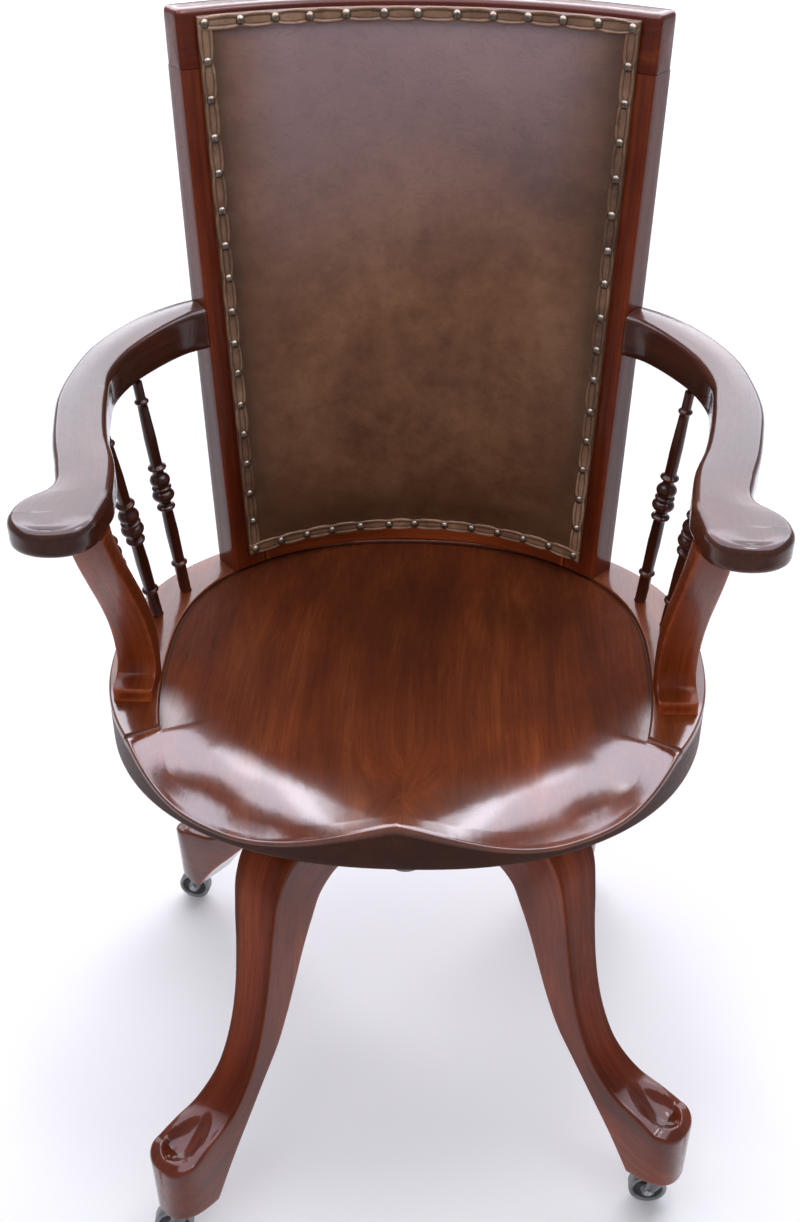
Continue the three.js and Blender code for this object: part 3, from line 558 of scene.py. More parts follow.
def seat_shape():
    angles = np.linspace(-math.pi, math.pi, 480, endpoint=False)

    def frontness_at(a):
        return 1 - smooth(SEAT["centre"] + oval(SEAT, a) * np.sin(a), FRONT_FROM_Y, SIDES_FROM_Y)

    # Two close angles on each side let the flat rim end in a crisp step.
    fine = np.linspace(-1.0, -0.2, 4001)
    stop = fine[np.argmin(np.abs(frontness_at(fine) - ROLLED))]
    extra = [stop - 0.0012, stop + 0.0012, -math.pi - stop - 0.0012, -math.pi - stop + 0.0012]
    angles = np.sort(np.append(angles, extra))
    edge = oval(SEAT, angles)
    dish = np.minimum(oval(DISH, angles), DISH_LIMIT * edge)
    front = frontness_at(angles)
    rimless = front > ROLLED
    drop = front_drop(edge * np.cos(angles))

    def rolled(radius):
        return front * np.clip(radius / edge / ROLL_SPAN - ROLL_START, 0, 1) ** 2

    def surface(radius, at_rim):
        roll = rolled(radius)
        share = np.minimum(1, radius / dish)
        low = mix(mix(DISH_DEPTH, DISH_STEP, share**3), drop, roll)
        return np.where(rimless, low, at_rim) if at_rim is not None else low

    rings = []
    for share in np.append(np.linspace(0.02, 0.97, 56), [0.985, 0.995, 1.0]):
        rings.append((share * dish, surface(share * dish, None)))
    for out, fall in ((0.25, 1.6), (0.7, 0.7), (1.4, 0.15), (2.4, 0.0)):
        rings.append((dish + out, surface(dish + out, fall)))
    for share in (0.25, 0.5, 0.75, 1.0):
        radius = mix(dish + 2.4, edge - RIM_ROUND, share)
        rings.append((radius, surface(radius, 0.0)))
    top = surface(edge - RIM_ROUND, 0.0)
    for inset, fall in quarter(RIM_ROUND, np.radians([22, 45, 68, 90])):
        rings.append((edge - inset, top + fall))
    side_top, side_from = top + RIM_ROUND, len(rings)
    bottom = SEAT_TOP - SEAT_BOTTOM
    for share in (0.15, 0.5, 0.85, 1.0):
        rings.append((edge, mix(side_top, bottom - UNDER_ROUND, share)))
    for a in np.radians([30, 60, 90]):
        depth = bottom - UNDER_ROUND + UNDER_ROUND * math.sin(a)
        rings.append((edge - UNDER_ROUND * (1 - math.cos(a)), depth + 0 * edge))
    rings.append((edge - 25, bottom + 0 * edge))
    rings.append((0.5 * edge, bottom + 0 * edge))
    # The polish is worn off the dish, and is thick on the rim and the rolled front.
    gloss = [np.maximum(smooth(rolled(r), 0.03, 0.3), 0.45 * smooth(r - dish, -1, 2)) for r, _ in rings]
    is_side = (np.arange(len(rings)) >= side_from)[:, None]
    gloss = np.where(is_side, 0.15, gloss)
    # Painted shade: the side faces are darkened, most at the front.
    painted_seat_shade = is_side * np.clip(0.35 + 0.65 * front, 0, 1)
    across, along = np.cos(angles), np.sin(angles)
    rings = np.array([
        np.column_stack([r * across, SEAT["centre"] + r * along, SEAT_TOP - d]) for r, d in rings])
    x, y, z = rings[:, :, 0], rings[:, :, 1], rings[:, :, 2]
    # The growth rings bow round a small knot near the front.
    near = np.hypot(x - 4, (y + 150) * 0.8)
    bow = 26 * np.exp(-((near / 34) ** 2))
    figure = 9 * np.exp(-((x / 190) ** 2)) * np.cos(y / 120)
    knot = 55 * np.exp(-((near / 30) ** 2))
    grain = np.stack([y + knot, x + np.sign(x - 4) * bow + figure, z * 1.6 + 0.04 * y], 2)
    # Painted shade also darkens the dish towards the back, under the backrest.
    painted_seat_shade = np.clip(painted_seat_shade + 0.5 * smooth(y, -120, 190) * (gloss < 0.4) * ~is_side, 0, 1)
    ends = {"waxed": (gloss, [0.0, 0.1]), "painted_shade": (painted_seat_shade, [0.0, 1.0])}
    return skin(rings, grain), {key: values.ravel().tolist() + last for key, (values, last) in ends.items()}


seat_skin, seat_extra = seat_shape()
piece("seat", seat_skin, SEAT_WOOD, "seat", ["seat_board"], 33, seat_extra)


# ------------------------------------------------------------------ back frame
def back_angle(z):
    return np.radians(mix(BACK_ANGLE_LOW, BACK_ANGLE_TOP, (z - NAIL_LOW) / (NAIL_HIGH - NAIL_LOW)))


def back_point(turned, beyond, z, proud):
    """A point by its turn between the nail lines, distance past them, height and how far proud it is."""
    given = [np.asarray(v, float) for v in (turned, beyond, z, proud)]
    turned, beyond, z, proud = np.broadcast_arrays(*given)
    half = mix(BACK_HALF_WIDTH_LOW, BACK_HALF_WIDTH_TOP, (z - NAIL_LOW) / (NAIL_HIGH - NAIL_LOW))
    angle = back_angle(z) * turned
    radius = half / np.sin(back_angle(z))
    rise = z - SEAT_TOP
    corner = BACK_CORNER_Y + BACK_LEAN * rise + BACK_BOW * rise * rise
    centre = corner - radius * np.cos(back_angle(z))
    x = (radius - proud) * np.sin(angle) + np.sign(turned) * beyond * np.cos(angle)
    y = centre + (radius - proud) * np.cos(angle) - beyond * np.sin(np.abs(angle))
    return np.stack([x, y, z], -1)


def on_back(s, z, proud):
    """The same by arc distance from the middle of the back."""
    s = np.asarray(s, float)
    return back_point(np.clip(s / ARC, -1, 1), np.maximum(0, np.abs(s) - ARC), z, proud)


def stile_shape(side):
    wide, deep = (STILE_OUT + STILE_IN) / 2, STILE_DEPTH / 2
    section = rounded(wide, deep, (3.2, 1.2, 1.5, 3.0), 4, 4) + [(STILE_OUT - STILE_IN) / 2, -deep]
    levels = np.linspace(SEAT_TOP + GAP, BACK_TOP - TOP_RAIL - GAP, 60)
    z = np.broadcast_to(levels[:, None], (len(levels), len(section)))
    rings = back_point(side, section[:, 0], z, section[:, 1])
    return skin(rings, np.stack([z, section[:, 0] + 0 * z, section[:, 1] + 0 * z], 2))


def bar(section, reach, beyond, end_round, keep_low=False):
    """A bar along the curve of the back. Its ends are rounded, though not underneath with keep_low."""
    s = list(np.linspace(-ARC * reach, ARC * reach, 120))
    far = ARC * reach + beyond
    insets = [0.0] * len(s)
    if beyond > end_round:
        more = list(np.linspace(ARC, far - end_round, 5)[1:])
        s = [-v for v in reversed(more)] + s + more
        insets = [0.0] * len(s)
    ends = quarter(end_round, np.radians([18, 36, 54, 72, 90]))
    rounds = [(far - short, inset) for short, inset in ends]
    s = [-v for v, _ in reversed(rounds)] + s + [v for v, _ in rounds]
    insets = [i for _, i in reversed(rounds)] + insets + [i for _, i in rounds]
    s, insets = np.array(s), np.array(insets)
    z0, p0 = section[:, 0].mean(), section[:, 1].mean()
    half_z, half_p = np.ptp(section[:, 0]) / 2, np.ptp(section[:, 1]) / 2
    zs = z0 + (section[None, :, 0] - z0) * (1 - insets[:, None] / half_z)
    if keep_low:
        zs = np.where(section[None, :, 0] < z0, section[None, :, 0], zs)
    ps = p0 + (section[None, :, 1] - p0) * (1 - insets[:, None] / half_p)
    ss = np.broadcast_to(s[:, None], zs.shape)
    return skin(on_back(ss, zs, ps), np.stack([ss, zs, ps], 2))


def rail_section(low, high, front, back, radii):
    """Corner radii run from top front to top back, bottom back and bottom front."""
    half_p, half_z = (front - back) / 2, (high - low) / 2
    outline = rounded(half_p, half_z, radii, 4, 4)
    return np.column_stack([outline[:, 1] + (low + high) / 2, outline[:, 0] + (front + back) / 2])


for side, word in ((-1, "left"), (1, "right")):
    piece("back_stile_" + word, stile_shape(side), FRAME_WOOD, "seat", ["stile_" + word])
top_section = rail_section(BACK_TOP - TOP_RAIL, BACK_TOP, 0, -STILE_DEPTH, (4.5, 4.5, 0.6, 0.6))
top_rail = bar(top_section, 1, STILE_OUT, 5, keep_low=True)
piece("back_top_rail", top_rail, FRAME_WOOD, "seat", ["top_rail"])
REACH = 1 - (STILE_IN + 1) / ARC  # share of the arc between the stiles
low_section = rail_section(SEAT_TOP + GAP, BOTTOM_RAIL_TOP, 0, -RAIL_DEPTH, (1.5, 1.5, 0.5, 0.5))
piece("back_bottom_rail", bar(low_section, REACH, 0, 0.3), WARM_WOOD, "seat", ["bottom_rail"])


# ------------------------------------------------------------------ leather
def pad_crown(s, z):
    flat = GIMP_HALF + 2
    across = np.abs(s) / (ARC - flat)
    up = np.abs(mix(-1, 1, (z - NAIL_LOW - flat) / (NAIL_HIGH - NAIL_LOW - 2 * flat)))
    return np.maximum(0, 1 - across**4) * np.maximum(0, 1 - up**6)


ACROSS = np.linspace(-ARC, ARC, 13) + RANDOM.uniform(-1.3, 1.3, 13) * ([0] + [1] * 11 + [0])
UPWARD = np.linspace(NAIL_LOW, NAIL_HIGH, 17) + RANDOM.uniform(-1.3, 1.3, 17) * ([0] + [1] * 15 + [0])


def pucker(s, z):
    """Small folds in the leather between the nails, dying out inwards."""
    inside = ARC - GIMP_HALF - np.abs(s)
    above = NAIL_HIGH - GIMP_HALF - z
    below = z - NAIL_LOW - GIMP_HALF
    fold = 0
    for gap, along, nails in ((inside, z, UPWARD), (above, s, ACROSS), (below, s, ACROSS)):
        near = np.min(np.abs(along[..., None] - nails), axis=-1)
        fade = np.exp(-np.maximum(0, gap) / 11.0) * smooth(gap, -1, 4)
        fold = fold + fade * (0.75 * smooth(near, 1, 14) - 0.45)
    return fold


def pad_object():
    """The stuffed panel: a shell blown up as cloth with its border held, then creased at the nails."""
    wide, tall = 92, 128
    s = np.linspace(-ARC - PAD_MARGIN, ARC + PAD_MARGIN, wide)
    z = np.linspace(NAIL_LOW - PAD_MARGIN, NAIL_HIGH + PAD_MARGIN, tall)
    ss, zz = np.meshgrid(s, z)
    crown = pad_crown(ss, zz)
    front = on_back(ss, zz, PAD_LEVEL + 9.0 * crown)
    back = on_back(ss, zz, PAD_UNDER + 0 * ss)
    verts = np.vstack([front.reshape(-1, 3), back.reshape(-1, 3)])
    index = np.arange(wide * tall).reshape(tall, wide)
    other = index + wide * tall
    faces = [[index[i, j], index[i, j + 1], index[i + 1, j + 1], index[i + 1, j]]
             for i in range(tall - 1) for j in range(wide - 1)]
    faces += [[other[i, j], other[i + 1, j], other[i + 1, j + 1], other[i, j + 1]]
              for i in range(tall - 1) for j in range(wide - 1)]
    border = list(index[0, :]) + list(index[1:, -1]) + list(index[-1, -2::-1]) + list(index[-2:0:-1, 0])
    faces += [[b, a, a + wide * tall, b + wide * tall] for a, b in zip(border, border[1:] + border[:1])]
    data = bpy.data.meshes.new("leather_pad_soft")
    data.from_pydata((verts * 0.001 + AXIS).tolist(), [], [[int(k) for k in f] for f in faces])
    made = bpy.data.objects.new("leather_pad_soft", data)
    bpy.context.scene.collection.objects.link(made)
    rest = np.array([v.co for v in data.vertices])
    held = made.vertex_groups.new(name="held")
    firm = np.concatenate([(crown < 0.02).ravel(), np.ones(wide * tall, bool)])
    held.add([int(k) for k in np.nonzero(firm)[0]], 1.0, "REPLACE")
    cloth = made.modifiers.new("cloth", "CLOTH")
    cloth.settings.quality = 5
    cloth.settings.mass = 0.25
    cloth.settings.tension_stiffness = 22
    cloth.settings.compression_stiffness = 22
    cloth.settings.shear_stiffness = 12
    cloth.settings.bending_stiffness = 6
    cloth.settings.shrink_min = 0.002
    cloth.settings.use_pressure = True
    cloth.settings.uniform_pressure_force = 3.5
    cloth.settings.effector_weights.gravity = 0
    cloth.settings.vertex_group_mass = "held"
    cloth.point_cache.frame_start, cloth.point_cache.frame_end = 1, 20
    for number in range(1, 21):
        bpy.context.scene.frame_set(number)
    evaluated = made.evaluated_get(bpy.context.evaluated_depsgraph_get())
    blown = np.array([v.co for v in evaluated.data.vertices])
    made.modifiers.remove(cloth)
    made.vertex_groups.clear()
    bpy.context.scene.frame_set(1)
    step = blown - rest
    length = np.linalg.norm(step, axis=1, keepdims=True)
    rest = rest + step * np.minimum(1, CLOTH_LIMIT / np.maximum(1e-9, length))
    # A finer sheet takes the blown shape, and the creases at the nails are added to it.
    n = wide * tall
    proud = (rest[:n] - on_back(ss, zz, 0 * ss).reshape(-1, 3) * 0.001 - AXIS)
    outward = (on_back(ss, zz, 1 + 0 * ss) - on_back(ss, zz, 0 * ss)).reshape(-1, 3)
    height = np.einsum("ij,ij->i", proud * 1000, outward).reshape(tall, wide)
    bpy.data.objects.remove(made)
    fine_s, fine_z = np.linspace(s[0], s[-1], 300), np.linspace(z[0], z[-1], 420)
    rows = np.array([np.interp(fine_s, s, row) for row in height])
    fine = np.array([np.interp(fine_z, z, column) for column in rows.T]).T
    for _ in range(3):
        fine[1:-1, 1:-1] = 0.5 * fine[1:-1, 1:-1] + 0.125 * (
            fine[:-2, 1:-1] + fine[2:, 1:-1] + fine[1:-1, :-2] + fine[1:-1, 2:])
    gs, gz = np.meshgrid(fine_s, fine_z)
    fine = fine + np.where(pad_crown(gs, gz) > 0, pucker(gs, gz), 0)
    fine = np.maximum(fine, 3.2)
    edge = np.minimum.reduce([
        ARC + PAD_MARGIN - np.abs(gs), gz - NAIL_LOW + PAD_MARGIN, NAIL_HIGH + PAD_MARGIN - gz])
    rounding = np.clip(1 - (1 - edge / PAD_EDGE_ROUND) ** 2, 0, 1)
    rounding = np.sqrt(rounding * (edge < PAD_EDGE_ROUND) + (edge >= PAD_EDGE_ROUND))
    fine = PAD_UNDER + (fine - PAD_UNDER) * rounding
    top = on_back(gs, gz, fine)
    under = on_back(gs, gz, PAD_UNDER + 0 * gs)
    rings = np.concatenate([top, under[:, ::-1]], axis=1)
    lay = np.stack([gs, gz, 0 * gs], 2)
    lay = np.concatenate([lay, lay[:, ::-1]], axis=1)
    # Painted shade darkens the leather near the nails, low down and towards the +x side; a painted sheen,
    # with some real fading, makes it paler and greyer at the top.
    upright = np.minimum(gz - NAIL_LOW - 6, (NAIL_HIGH - 6 - gz) * 1.6)
    inset = np.minimum(ARC - GIMP_HALF - np.abs(gs), upright)
    painted_shade = 0.8 * np.exp(-np.maximum(0, inset) / 12.0) + 0.45 * np.exp(-np.maximum(0, inset) / 45.0)
    painted_shade = painted_shade + 0.6 * smooth(gz, 650, 500) + 0.15 * smooth(gs, 60, 175)
    sheen_and_fading = smooth(gz - 0.20 * gs, 740, 985) * smooth(np.abs(gs), 190, 110)
    extra = {}
    for key, values in (("painted_shade", painted_shade), ("sheen_and_fading", sheen_and_fading)):
        extra[key] = np.clip(np.concatenate([values, values[:, ::-1]], 1).ravel(), 0, 1)
    shape = skin(rings, lay, folded=True)
    return piece("leather_pad_front", shape, LEATHER, "seat", ["leather_pad"], 50, extra)


pad_object()


def strip(start, stop, level, upright, base, nails, step=1.4):
    """A folded gimp strip: two rolled edges that close on each nail, and a flat channel between them."""
    along = np.arange(start, stop + step / 2, step)
    k = np.clip(np.searchsorted(nails, along) - 1, 0, len(nails) - 2)
    phase = np.clip((along - nails[k]) / (nails[k + 1] - nails[k]), 0, 1)
    near = np.min(np.abs(along[:, None] - nails), axis=1)
    wobble = np.interp(along, np.linspace(start, stop, 40), RANDOM.uniform(-0.35, 0.35, 40))
    width = GIMP_HALF - 1.3 * np.exp(-((near / 6) ** 2)) + wobble
    spread = np.interp(k, range(len(nails)), RANDOM.uniform(0.8, 1.1, len(nails)))
    channel = (GIMP_HALF - 2.4) * np.sin(math.pi * phase) ** 0.3 * spread
    w = np.array([-1, -0.97, -0.9, -0.8, -0.68, -0.56, -0.46, -0.36, -0.24, -0.12, 0])
    w = np.concatenate([w, -w[-2::-1]])
    across = w[None, :] * width[:, None]
    inner = np.maximum(0, (np.abs(across) - channel[:, None])) / np.maximum(0.5, (width - channel))[:, None]
    bead = 0.85 + 1.25 * np.sin(math.pi * np.clip(inner, 0, 1)) ** 0.6
    floor = 0.95 + 0.2 * np.cos(math.pi * across / np.maximum(1, 2 * channel[:, None]))
    height = np.where(inner > 0, bead, floor)
    height = height * (1 - 0.35 * np.exp(-((near / 5) ** 2)))[:, None]
    height[:, [0, -1]] = 0.15
    ends = np.minimum(1, np.minimum(along - start, stop - along) / 1.5)[:, None] * 0.8 + 0.2
    height = base + height * ends
    full = np.concatenate([across, across[:, [-1, 0]] * 0.97], 1)
    high = np.concatenate([height, np.full((len(along), 2), base)], 1)
    run = np.broadcast_to(along[:, None], full.shape)
    if upright:
        places = on_back(level + full, run, high)
    else:
        places = on_back(run, level + full, high)
    return skin(places, np.stack([run, full + level, high], 2))


def nail_head(radius, height):
    profile = [(0, -1.2), (radius * 0.5, -1.2), (radius, -0.3), (radius * 1.02, 0.0), (radius, 0.25)]
    for a in np.radians(np.linspace(12, 88, 7)):
        profile.append((radius * math.cos(a) ** 0.9, 0.25 + (height - 0.25) * math.sin(a)))
    return lathe(profile + [(0, height)], 20)


def nails_at(places, facings, radius, height):
    heads = []
    for number, (place, facing) in enumerate(zip(places, facings)):
        tilt = Vector(facing) + Vector(RANDOM.uniform(-0.07, 0.07, 3))
        turned = np.array(Vector((0, 0, 1)).rotation_difference(tilt).to_matrix())
        v, f, g = nail_head(radius * RANDOM.uniform(0.95, 1.04), height * RANDOM.uniform(0.92, 1.05))
        heads.append((v @ turned.T + place, f, g + number * 13.0))
    return together(*heads)


def facing_back(s, z, sign):
    """The direction square to the back at a point, to its front for a sign of 1."""
    forward = on_back(s, z, 1.0) - on_back(s, z, 0.0)
    across = on_back(s + 0.5, z, 0.0) - on_back(s - 0.5, z, 0.0)
    up = on_back(s, z + 0.5, 0.0) - on_back(s, z - 0.5, 0.0)
    normal = np.cross(across, up)
    normal /= np.linalg.norm(normal)
    return sign * normal * (1 if np.dot(normal, forward) > 0 else -1)


GIMP_BASE = PAD_LEVEL + 0.2
strips = []
for side in (-1, 1):
    strips.append(strip(NAIL_LOW - 3, NAIL_HIGH + 3, side * ARC, True, GIMP_BASE, UPWARD))
for level in (NAIL_LOW, NAIL_HIGH):
    strips.append(strip(-ARC - GIMP_HALF, ARC + GIMP_HALF, level, False, GIMP_BASE + 0.5, ACROSS))
piece("gimp_strip", together(*strips), GIMP_LEATHER, "seat", ["gimp_band"], 60)


def round_panel(across, upward):
    """Nail places along the bottom and top of a panel, then up its sides."""
    ends = [(s, z) for s in across for z in (upward[0], upward[-1])]
    return ends + [(s, z) for z in upward[1:-1] for s in (across[0], across[-1])]


def nailed(spots, proud, sign, radius, height):
    places = [on_back(s, z, proud) for s, z in spots]
    return nails_at(places, [facing_back(s, z, sign) for s, z in spots], radius, height)


spots = round_panel(ACROSS, UPWARD)
spots = [(s + RANDOM.uniform(-0.5, 0.5), z + RANDOM.uniform(-0.5, 0.5)) for s, z in spots]
piece("gimp_nails", nailed(spots, GIMP_BASE + 1.5, 1, 4.4, 3.7), BRASS, "seat", sharp=60)

# The outside of the back: a plain leather panel let into the frame, with close nails round it.
REAR_LOW, REAR_HIGH, REAR_ARC = BOTTOM_RAIL_TOP + GAP, BACK_TOP - TOP_RAIL - GAP, ARC * REACH
REAR_NAIL_INSET = 8


def rear_panel():
    s, z = np.linspace(-REAR_ARC, REAR_ARC, 120), np.linspace(REAR_LOW, REAR_HIGH, 160)
    ss, zz = np.meshgrid(s, z)
    edge = np.minimum.reduce([REAR_ARC - np.abs(ss), zz - REAR_LOW, REAR_HIGH - zz])
    swell = -15.6 - 4.6 * np.sqrt(np.clip(edge / 3, 0, 1)) - 2.2 * smooth(edge, 10, 90)
    rings = np.concatenate([on_back(ss, zz, swell), on_back(ss, zz, -15.3 + 0 * ss)[:, ::-1]], 1)
    lay = np.stack([ss, zz, 0 * ss], 2)
    return skin(rings, np.concatenate([lay, lay[:, ::-1]], 1), folded=True)


piece("rear_leather_panel", rear_panel(), REAR_LEATHER, "seat", ["rear_cover"], 50)
rear_s = np.linspace(-REAR_ARC + REAR_NAIL_INSET, REAR_ARC - REAR_NAIL_INSET, 20)
rear_z = np.linspace(REAR_LOW + REAR_NAIL_INSET, REAR_HIGH - REAR_NAIL_INSET, 24)
piece("rear_nails", nailed(round_panel(rear_s, rear_z), -20.6, -1, 3.6, 2.4), BRASS, "seat", sharp=60)


# ------------------------------------------------------------------ arms
def arm_top(y):
    return mix(ARM_TOP_FRONT, ARM_TOP_BACK, (y - ARM_HAND_Y) / (ARM_BACK_Y - ARM_HAND_Y))


def arm_bottom(y):
    share = np.clip((y - ARM_LEVEL_TO_Y) / (ARM_BACK_Y - ARM_LEVEL_TO_Y), 0, 1)
    return mix(ARM_BOTTOM_FRONT, ARM_BOTTOM_BACK, share)


def arm_shape(side):
    past, height, depth = ARM_END
    start, after = back_point(1, past, height, depth), back_point(1, 46, height, depth)
    stations = [
        (start[0], start[1], 17), (after[0], after[1], 18.5), (251, 188, 20), (277, 136, 20), (286, 87, 19.5),
        (284.5, 46, 22), (278, 6, 22.5), (270, -29, 23), (259, -64, 24), (253, -96, 24), (254, -107, 26.5),
        (257.5, -114, 30), (261.5, -122, 33), (264.5, -132, 34.8), (266, -144, 35)]
    path = spline(stations, 220)
    way = np.gradient(path[:, :2], axis=0)
    way = mix(way / np.linalg.norm(way, axis=1)[:, None], np.array([0, -1.0]), smooth(-path[:, 1:2], 55, 112))
    way /= np.linalg.norm(way, axis=1)[:, None]
    tip_way, tip, tip_half = way[-1], path[-1, :2], path[-1, 2]
    middle, half, ahead = list(path[:, :2]), list(path[:, 2]), list(way)
    for a in np.radians([7, 14, 21, 28, 35, 42, 49, 56, 62, 68, 73, 78, 82, 86, 90]):
        middle.append(tip + tip_way * 29.5 * math.sin(a))
        half.append(tip_half * max(0, math.cos(a)) ** 0.95)
        ahead.append(tip_way)
    middle, half, ahead = np.array(middle), np.array(half), np.array(ahead)
    across = np.stack([-ahead[:, 1], ahead[:, 0]], 1)
    ends = [middle + across * half[:, None], middle - across * half[:, None]]
    outline = np.vstack([ends[0], ends[1][-2::-1]])
    tangent = np.gradient(outline, axis=0)
    tangent /= np.maximum(1e-6, np.linalg.norm(tangent, axis=1))[:, None]
    normal = np.stack([-tangent[:, 1], tangent[:, 0]], 1)
    count = len(middle)
    normals = [normal[:count], normal[count - 1:][::-1]]
    if np.dot(normals[0][40], across[40]) < 0:
        normals = [-normals[0], -normals[1]]
    top, low = arm_top(middle[:, 1]), arm_bottom(middle[:, 1])
    steps = [(inset, rise, "low") for inset, rise in quarter(ARM_LOW_ROUND, np.radians([0, 30, 60, 90]))]
    steps += [(0, share, "side") for share in (0.2, 0.5, 0.8)]
    steps += [
        (inset, fall, "top") for fall, inset in quarter(ARM_TOP_ROUND, np.radians(np.linspace(0, 90, 9)))]

    def rim(which, inset, value, part):
        flat = ends[which] - normals[which] * inset
        side = mix(low + ARM_LOW_ROUND, top - ARM_TOP_ROUND, value)
        return np.column_stack([flat, {"low": low + value, "side": side, "top": top - value}[part]])

    one = [rim(0, *s) for s in steps]
    two = [rim(1, *s) for s in steps[::-1]]
    dome = 1.3 * np.minimum(1, half[:, None] / 20) * [0, 0, 1]
    crown = [mix(one[-1], two[0], t) + dome * math.sin(math.pi * t) for t in np.linspace(0, 1, 13)[1:-1]]
    under = [mix(two[-1], one[0], t) for t in (0.25, 0.5, 0.75)]
    rings = np.stack(one + crown + two + under, 1)
    from_stile = np.linalg.norm(middle - middle[0], axis=1)
    lean = (1 - smooth(from_stile, 0, 30))[:, None]
    face = back_point(1, past, rings[:, :, 2], depth)[..., :2] - start[:2]
    rings[:, :, :2] += face * lean[:, :, None]
    run = np.cumsum(np.append(0, np.linalg.norm(np.diff(middle, axis=0), axis=1)))
    off = np.einsum("rpk,rk->rp", rings[:, :, :2] - middle[:, None, :], across)
    grain = np.stack([np.broadcast_to(run[:, None], off.shape), off, rings[:, :, 2]], 2)
    rings[:, :, 0] *= side
    return skin(rings, grain + [300 * side, 0, 0])


def support_shape(side):
    foot_front = np.vstack([
        [(-40, 481.3), (-40, 483), (-40, 488), (-40, 491.5)],
        bezier((-40, 491.5), (-40, 493.6), (-38.6, 494.2), (-36.5, 494.4), np.linspace(0.2, 1, 5)),
        bezier((-36.5, 494.4), (-33, 494.9), (-30, 495.3), (-28, 495.5), np.linspace(0.3, 1, 3)),
        bezier((-28, 495.5), (-18.7, 496.5), (-14.3, 502), (-15, 512), np.linspace(0.06, 1, 12))])
    rise = np.linspace(0, 1, 46)[1:]
    front = np.vstack([foot_front, bezier((-15, 512), (-24, 575), (-102, 640), (-143, 712.7), rise)])
    share = np.linspace(0, 1, len(foot_front))
    foot_back = np.column_stack([np.full(len(share), 8.0), mix(481.3, 515, share)])
    back = np.vstack([foot_back, bezier((8, 515), (0, 575), (-79, 640), (-120, 712.7), rise)])
    rings, lay = [], []
    run = np.cumsum(np.append(0, np.linalg.norm(np.diff((front + back) / 2, axis=0), axis=1)))
    for f, b, along in zip(front, back, run):
        depth = np.linalg.norm(b - f)
        section = rounded(17, depth / 2, (2.4,) * 4, 4, 4)
        down = section[:, 1] / depth + 0.5
        place = f[None, :] + (b - f)[None, :] * down[:, None]
        level = (place[:, 1] - SEAT_TOP) / (ARM_BOTTOM_FRONT - SEAT_TOP)
        x = mix(251, 244, level) + section[:, 0] / 34 * mix(37, 31, level)
        rings.append(np.column_stack([side * x, place]))
        lay.append(np.column_stack([np.full(len(x), along), x, down * depth]))
    return skin(np.array(rings), np.array(lay) + [200 * side, 0, 90])


STEP = None  # a soft step to the next knot, where a number is how far the stretch bulges

# Knots up a spindle: the share of its length, the radius, and the bulge of the stretch that follows.
SPINDLE = [
    (-0.02, 5.8, 0), (0.134, 6.2, STEP), (0.138, 6.8, 1.6), (0.155, 6.8, STEP), (0.158, 6.0, 0),
    (0.30, 6.6, 0), (0.412, 5.9, STEP), (0.417, 7.2, 2.2), (0.437, 7.2, STEP), (0.441, 5.8, -0.4),
    (0.457, 6.2, 4.4), (0.507, 7.4, STEP), (0.510, 7.7, 2.2), (0.528, 7.7, STEP), (0.531, 7.4, 3.4),
    (0.582, 6.2, -0.4), (0.600, 5.8, STEP), (0.604, 7.1, 2.2), (0.623, 7.1, STEP), (0.628, 6.0, 0),
    (0.75, 6.1, 0), (0.900, 4.9, STEP), (0.904, 5.6, 1.4), (0.920, 5.6, STEP), (0.924, 4.8, 0),
    (1.02, 4.8, 0)]


def turning(knots, count):
    """The (radius, share) profile through the knots, in count steps for each stretch."""
    out = []
    for (s0, r0, bulge), (s1, r1, _) in zip(knots, knots[1:]):
        for t in np.linspace(0, 1, count, endpoint=False):
            radius = mix(r0, r1, smooth(t, 0, 1) if bulge is STEP else t)
            out.append((radius + (bulge or 0) * math.sin(math.pi * t) ** 0.8, s0 + (s1 - s0) * t))
    return out


def spindle_shape(side, foot, head):
    low = np.array([side * foot[0], foot[1], SEAT_TOP])
    high = np.array([side * head[0], head[1], float(arm_bottom(head[1]))])
    along = high - low
    length = np.linalg.norm(along)
    profile = [(r, s * length) for r, s in turning(SPINDLE, 9)]
    profile.append((SPINDLE[-1][1], SPINDLE[-1][0] * length))
    v, f, g = lathe([(0, profile[0][1])] + profile + [(0, profile[-1][1])], 28)
    lean = np.array(Vector((0, 0, 1)).rotation_difference(Vector(along)).to_matrix())
    v = v @ lean.T + low
    v[:, 2] = np.clip(v[:, 2], low[2] + GAP, high[2] - GAP)
    return v, f, g + [foot[0] * side * 3, 0, foot[1]]


SPINDLES = {
    "rear": ((235, 156), (258, 140)), "middle": ((256, 110), (272, 51)), "front": ((267, 60), (268, -30))}
for side, word in ((-1, "left"), (1, "right")):
    piece("armrest_" + word, arm_shape(side), ARM_WOOD, "seat", ["arm_" + word], 50)
    support = support_shape(side)
    piece("armrest_support_" + word, support, WARM_WOOD, "seat", ["arm_support_" + word], 40)
    for place, (foot, head) in SPINDLES.items():
        name = f"spindle_{place}_{word}"
        spindle = spindle_shape(side, foot, head)
        piece("turned_" + name, spindle, TURNED_WOOD, "seat", [name], 48)


# ------------------------------------------------------------------ base
# Stations along a leg: reach and height of the outer edge, then of the under edge, and half the width.
LEG = [
    (56.3, 398, 56.3, 340, 27), (115, 404, 100, 350, 27), (160, 407, 130, 354, 28), (190, 398, 152, 340, 28),
    (206, 372, 164, 315, 27), (213, 335, 175, 284, 25), (218, 290, 185, 248, 22.5),
    (226, 240, 196, 212, 20.5),
    (238, 196, 211, 178, 20), (256, 160, 232, 148, 20.5), (282, 137, 258, 116, 23), (310, 129, 284, 84, 25.5),
    (CASTOR_REACH, TOE_TOP, 308, TOE_BOTTOM, TOE_HALF_WIDTH)]
TOE_LENGTH = 21.0
SCOOP = (317, 25.5, 30, 17.5, 8.5)  # middle, reach to the front and back, half width and depth


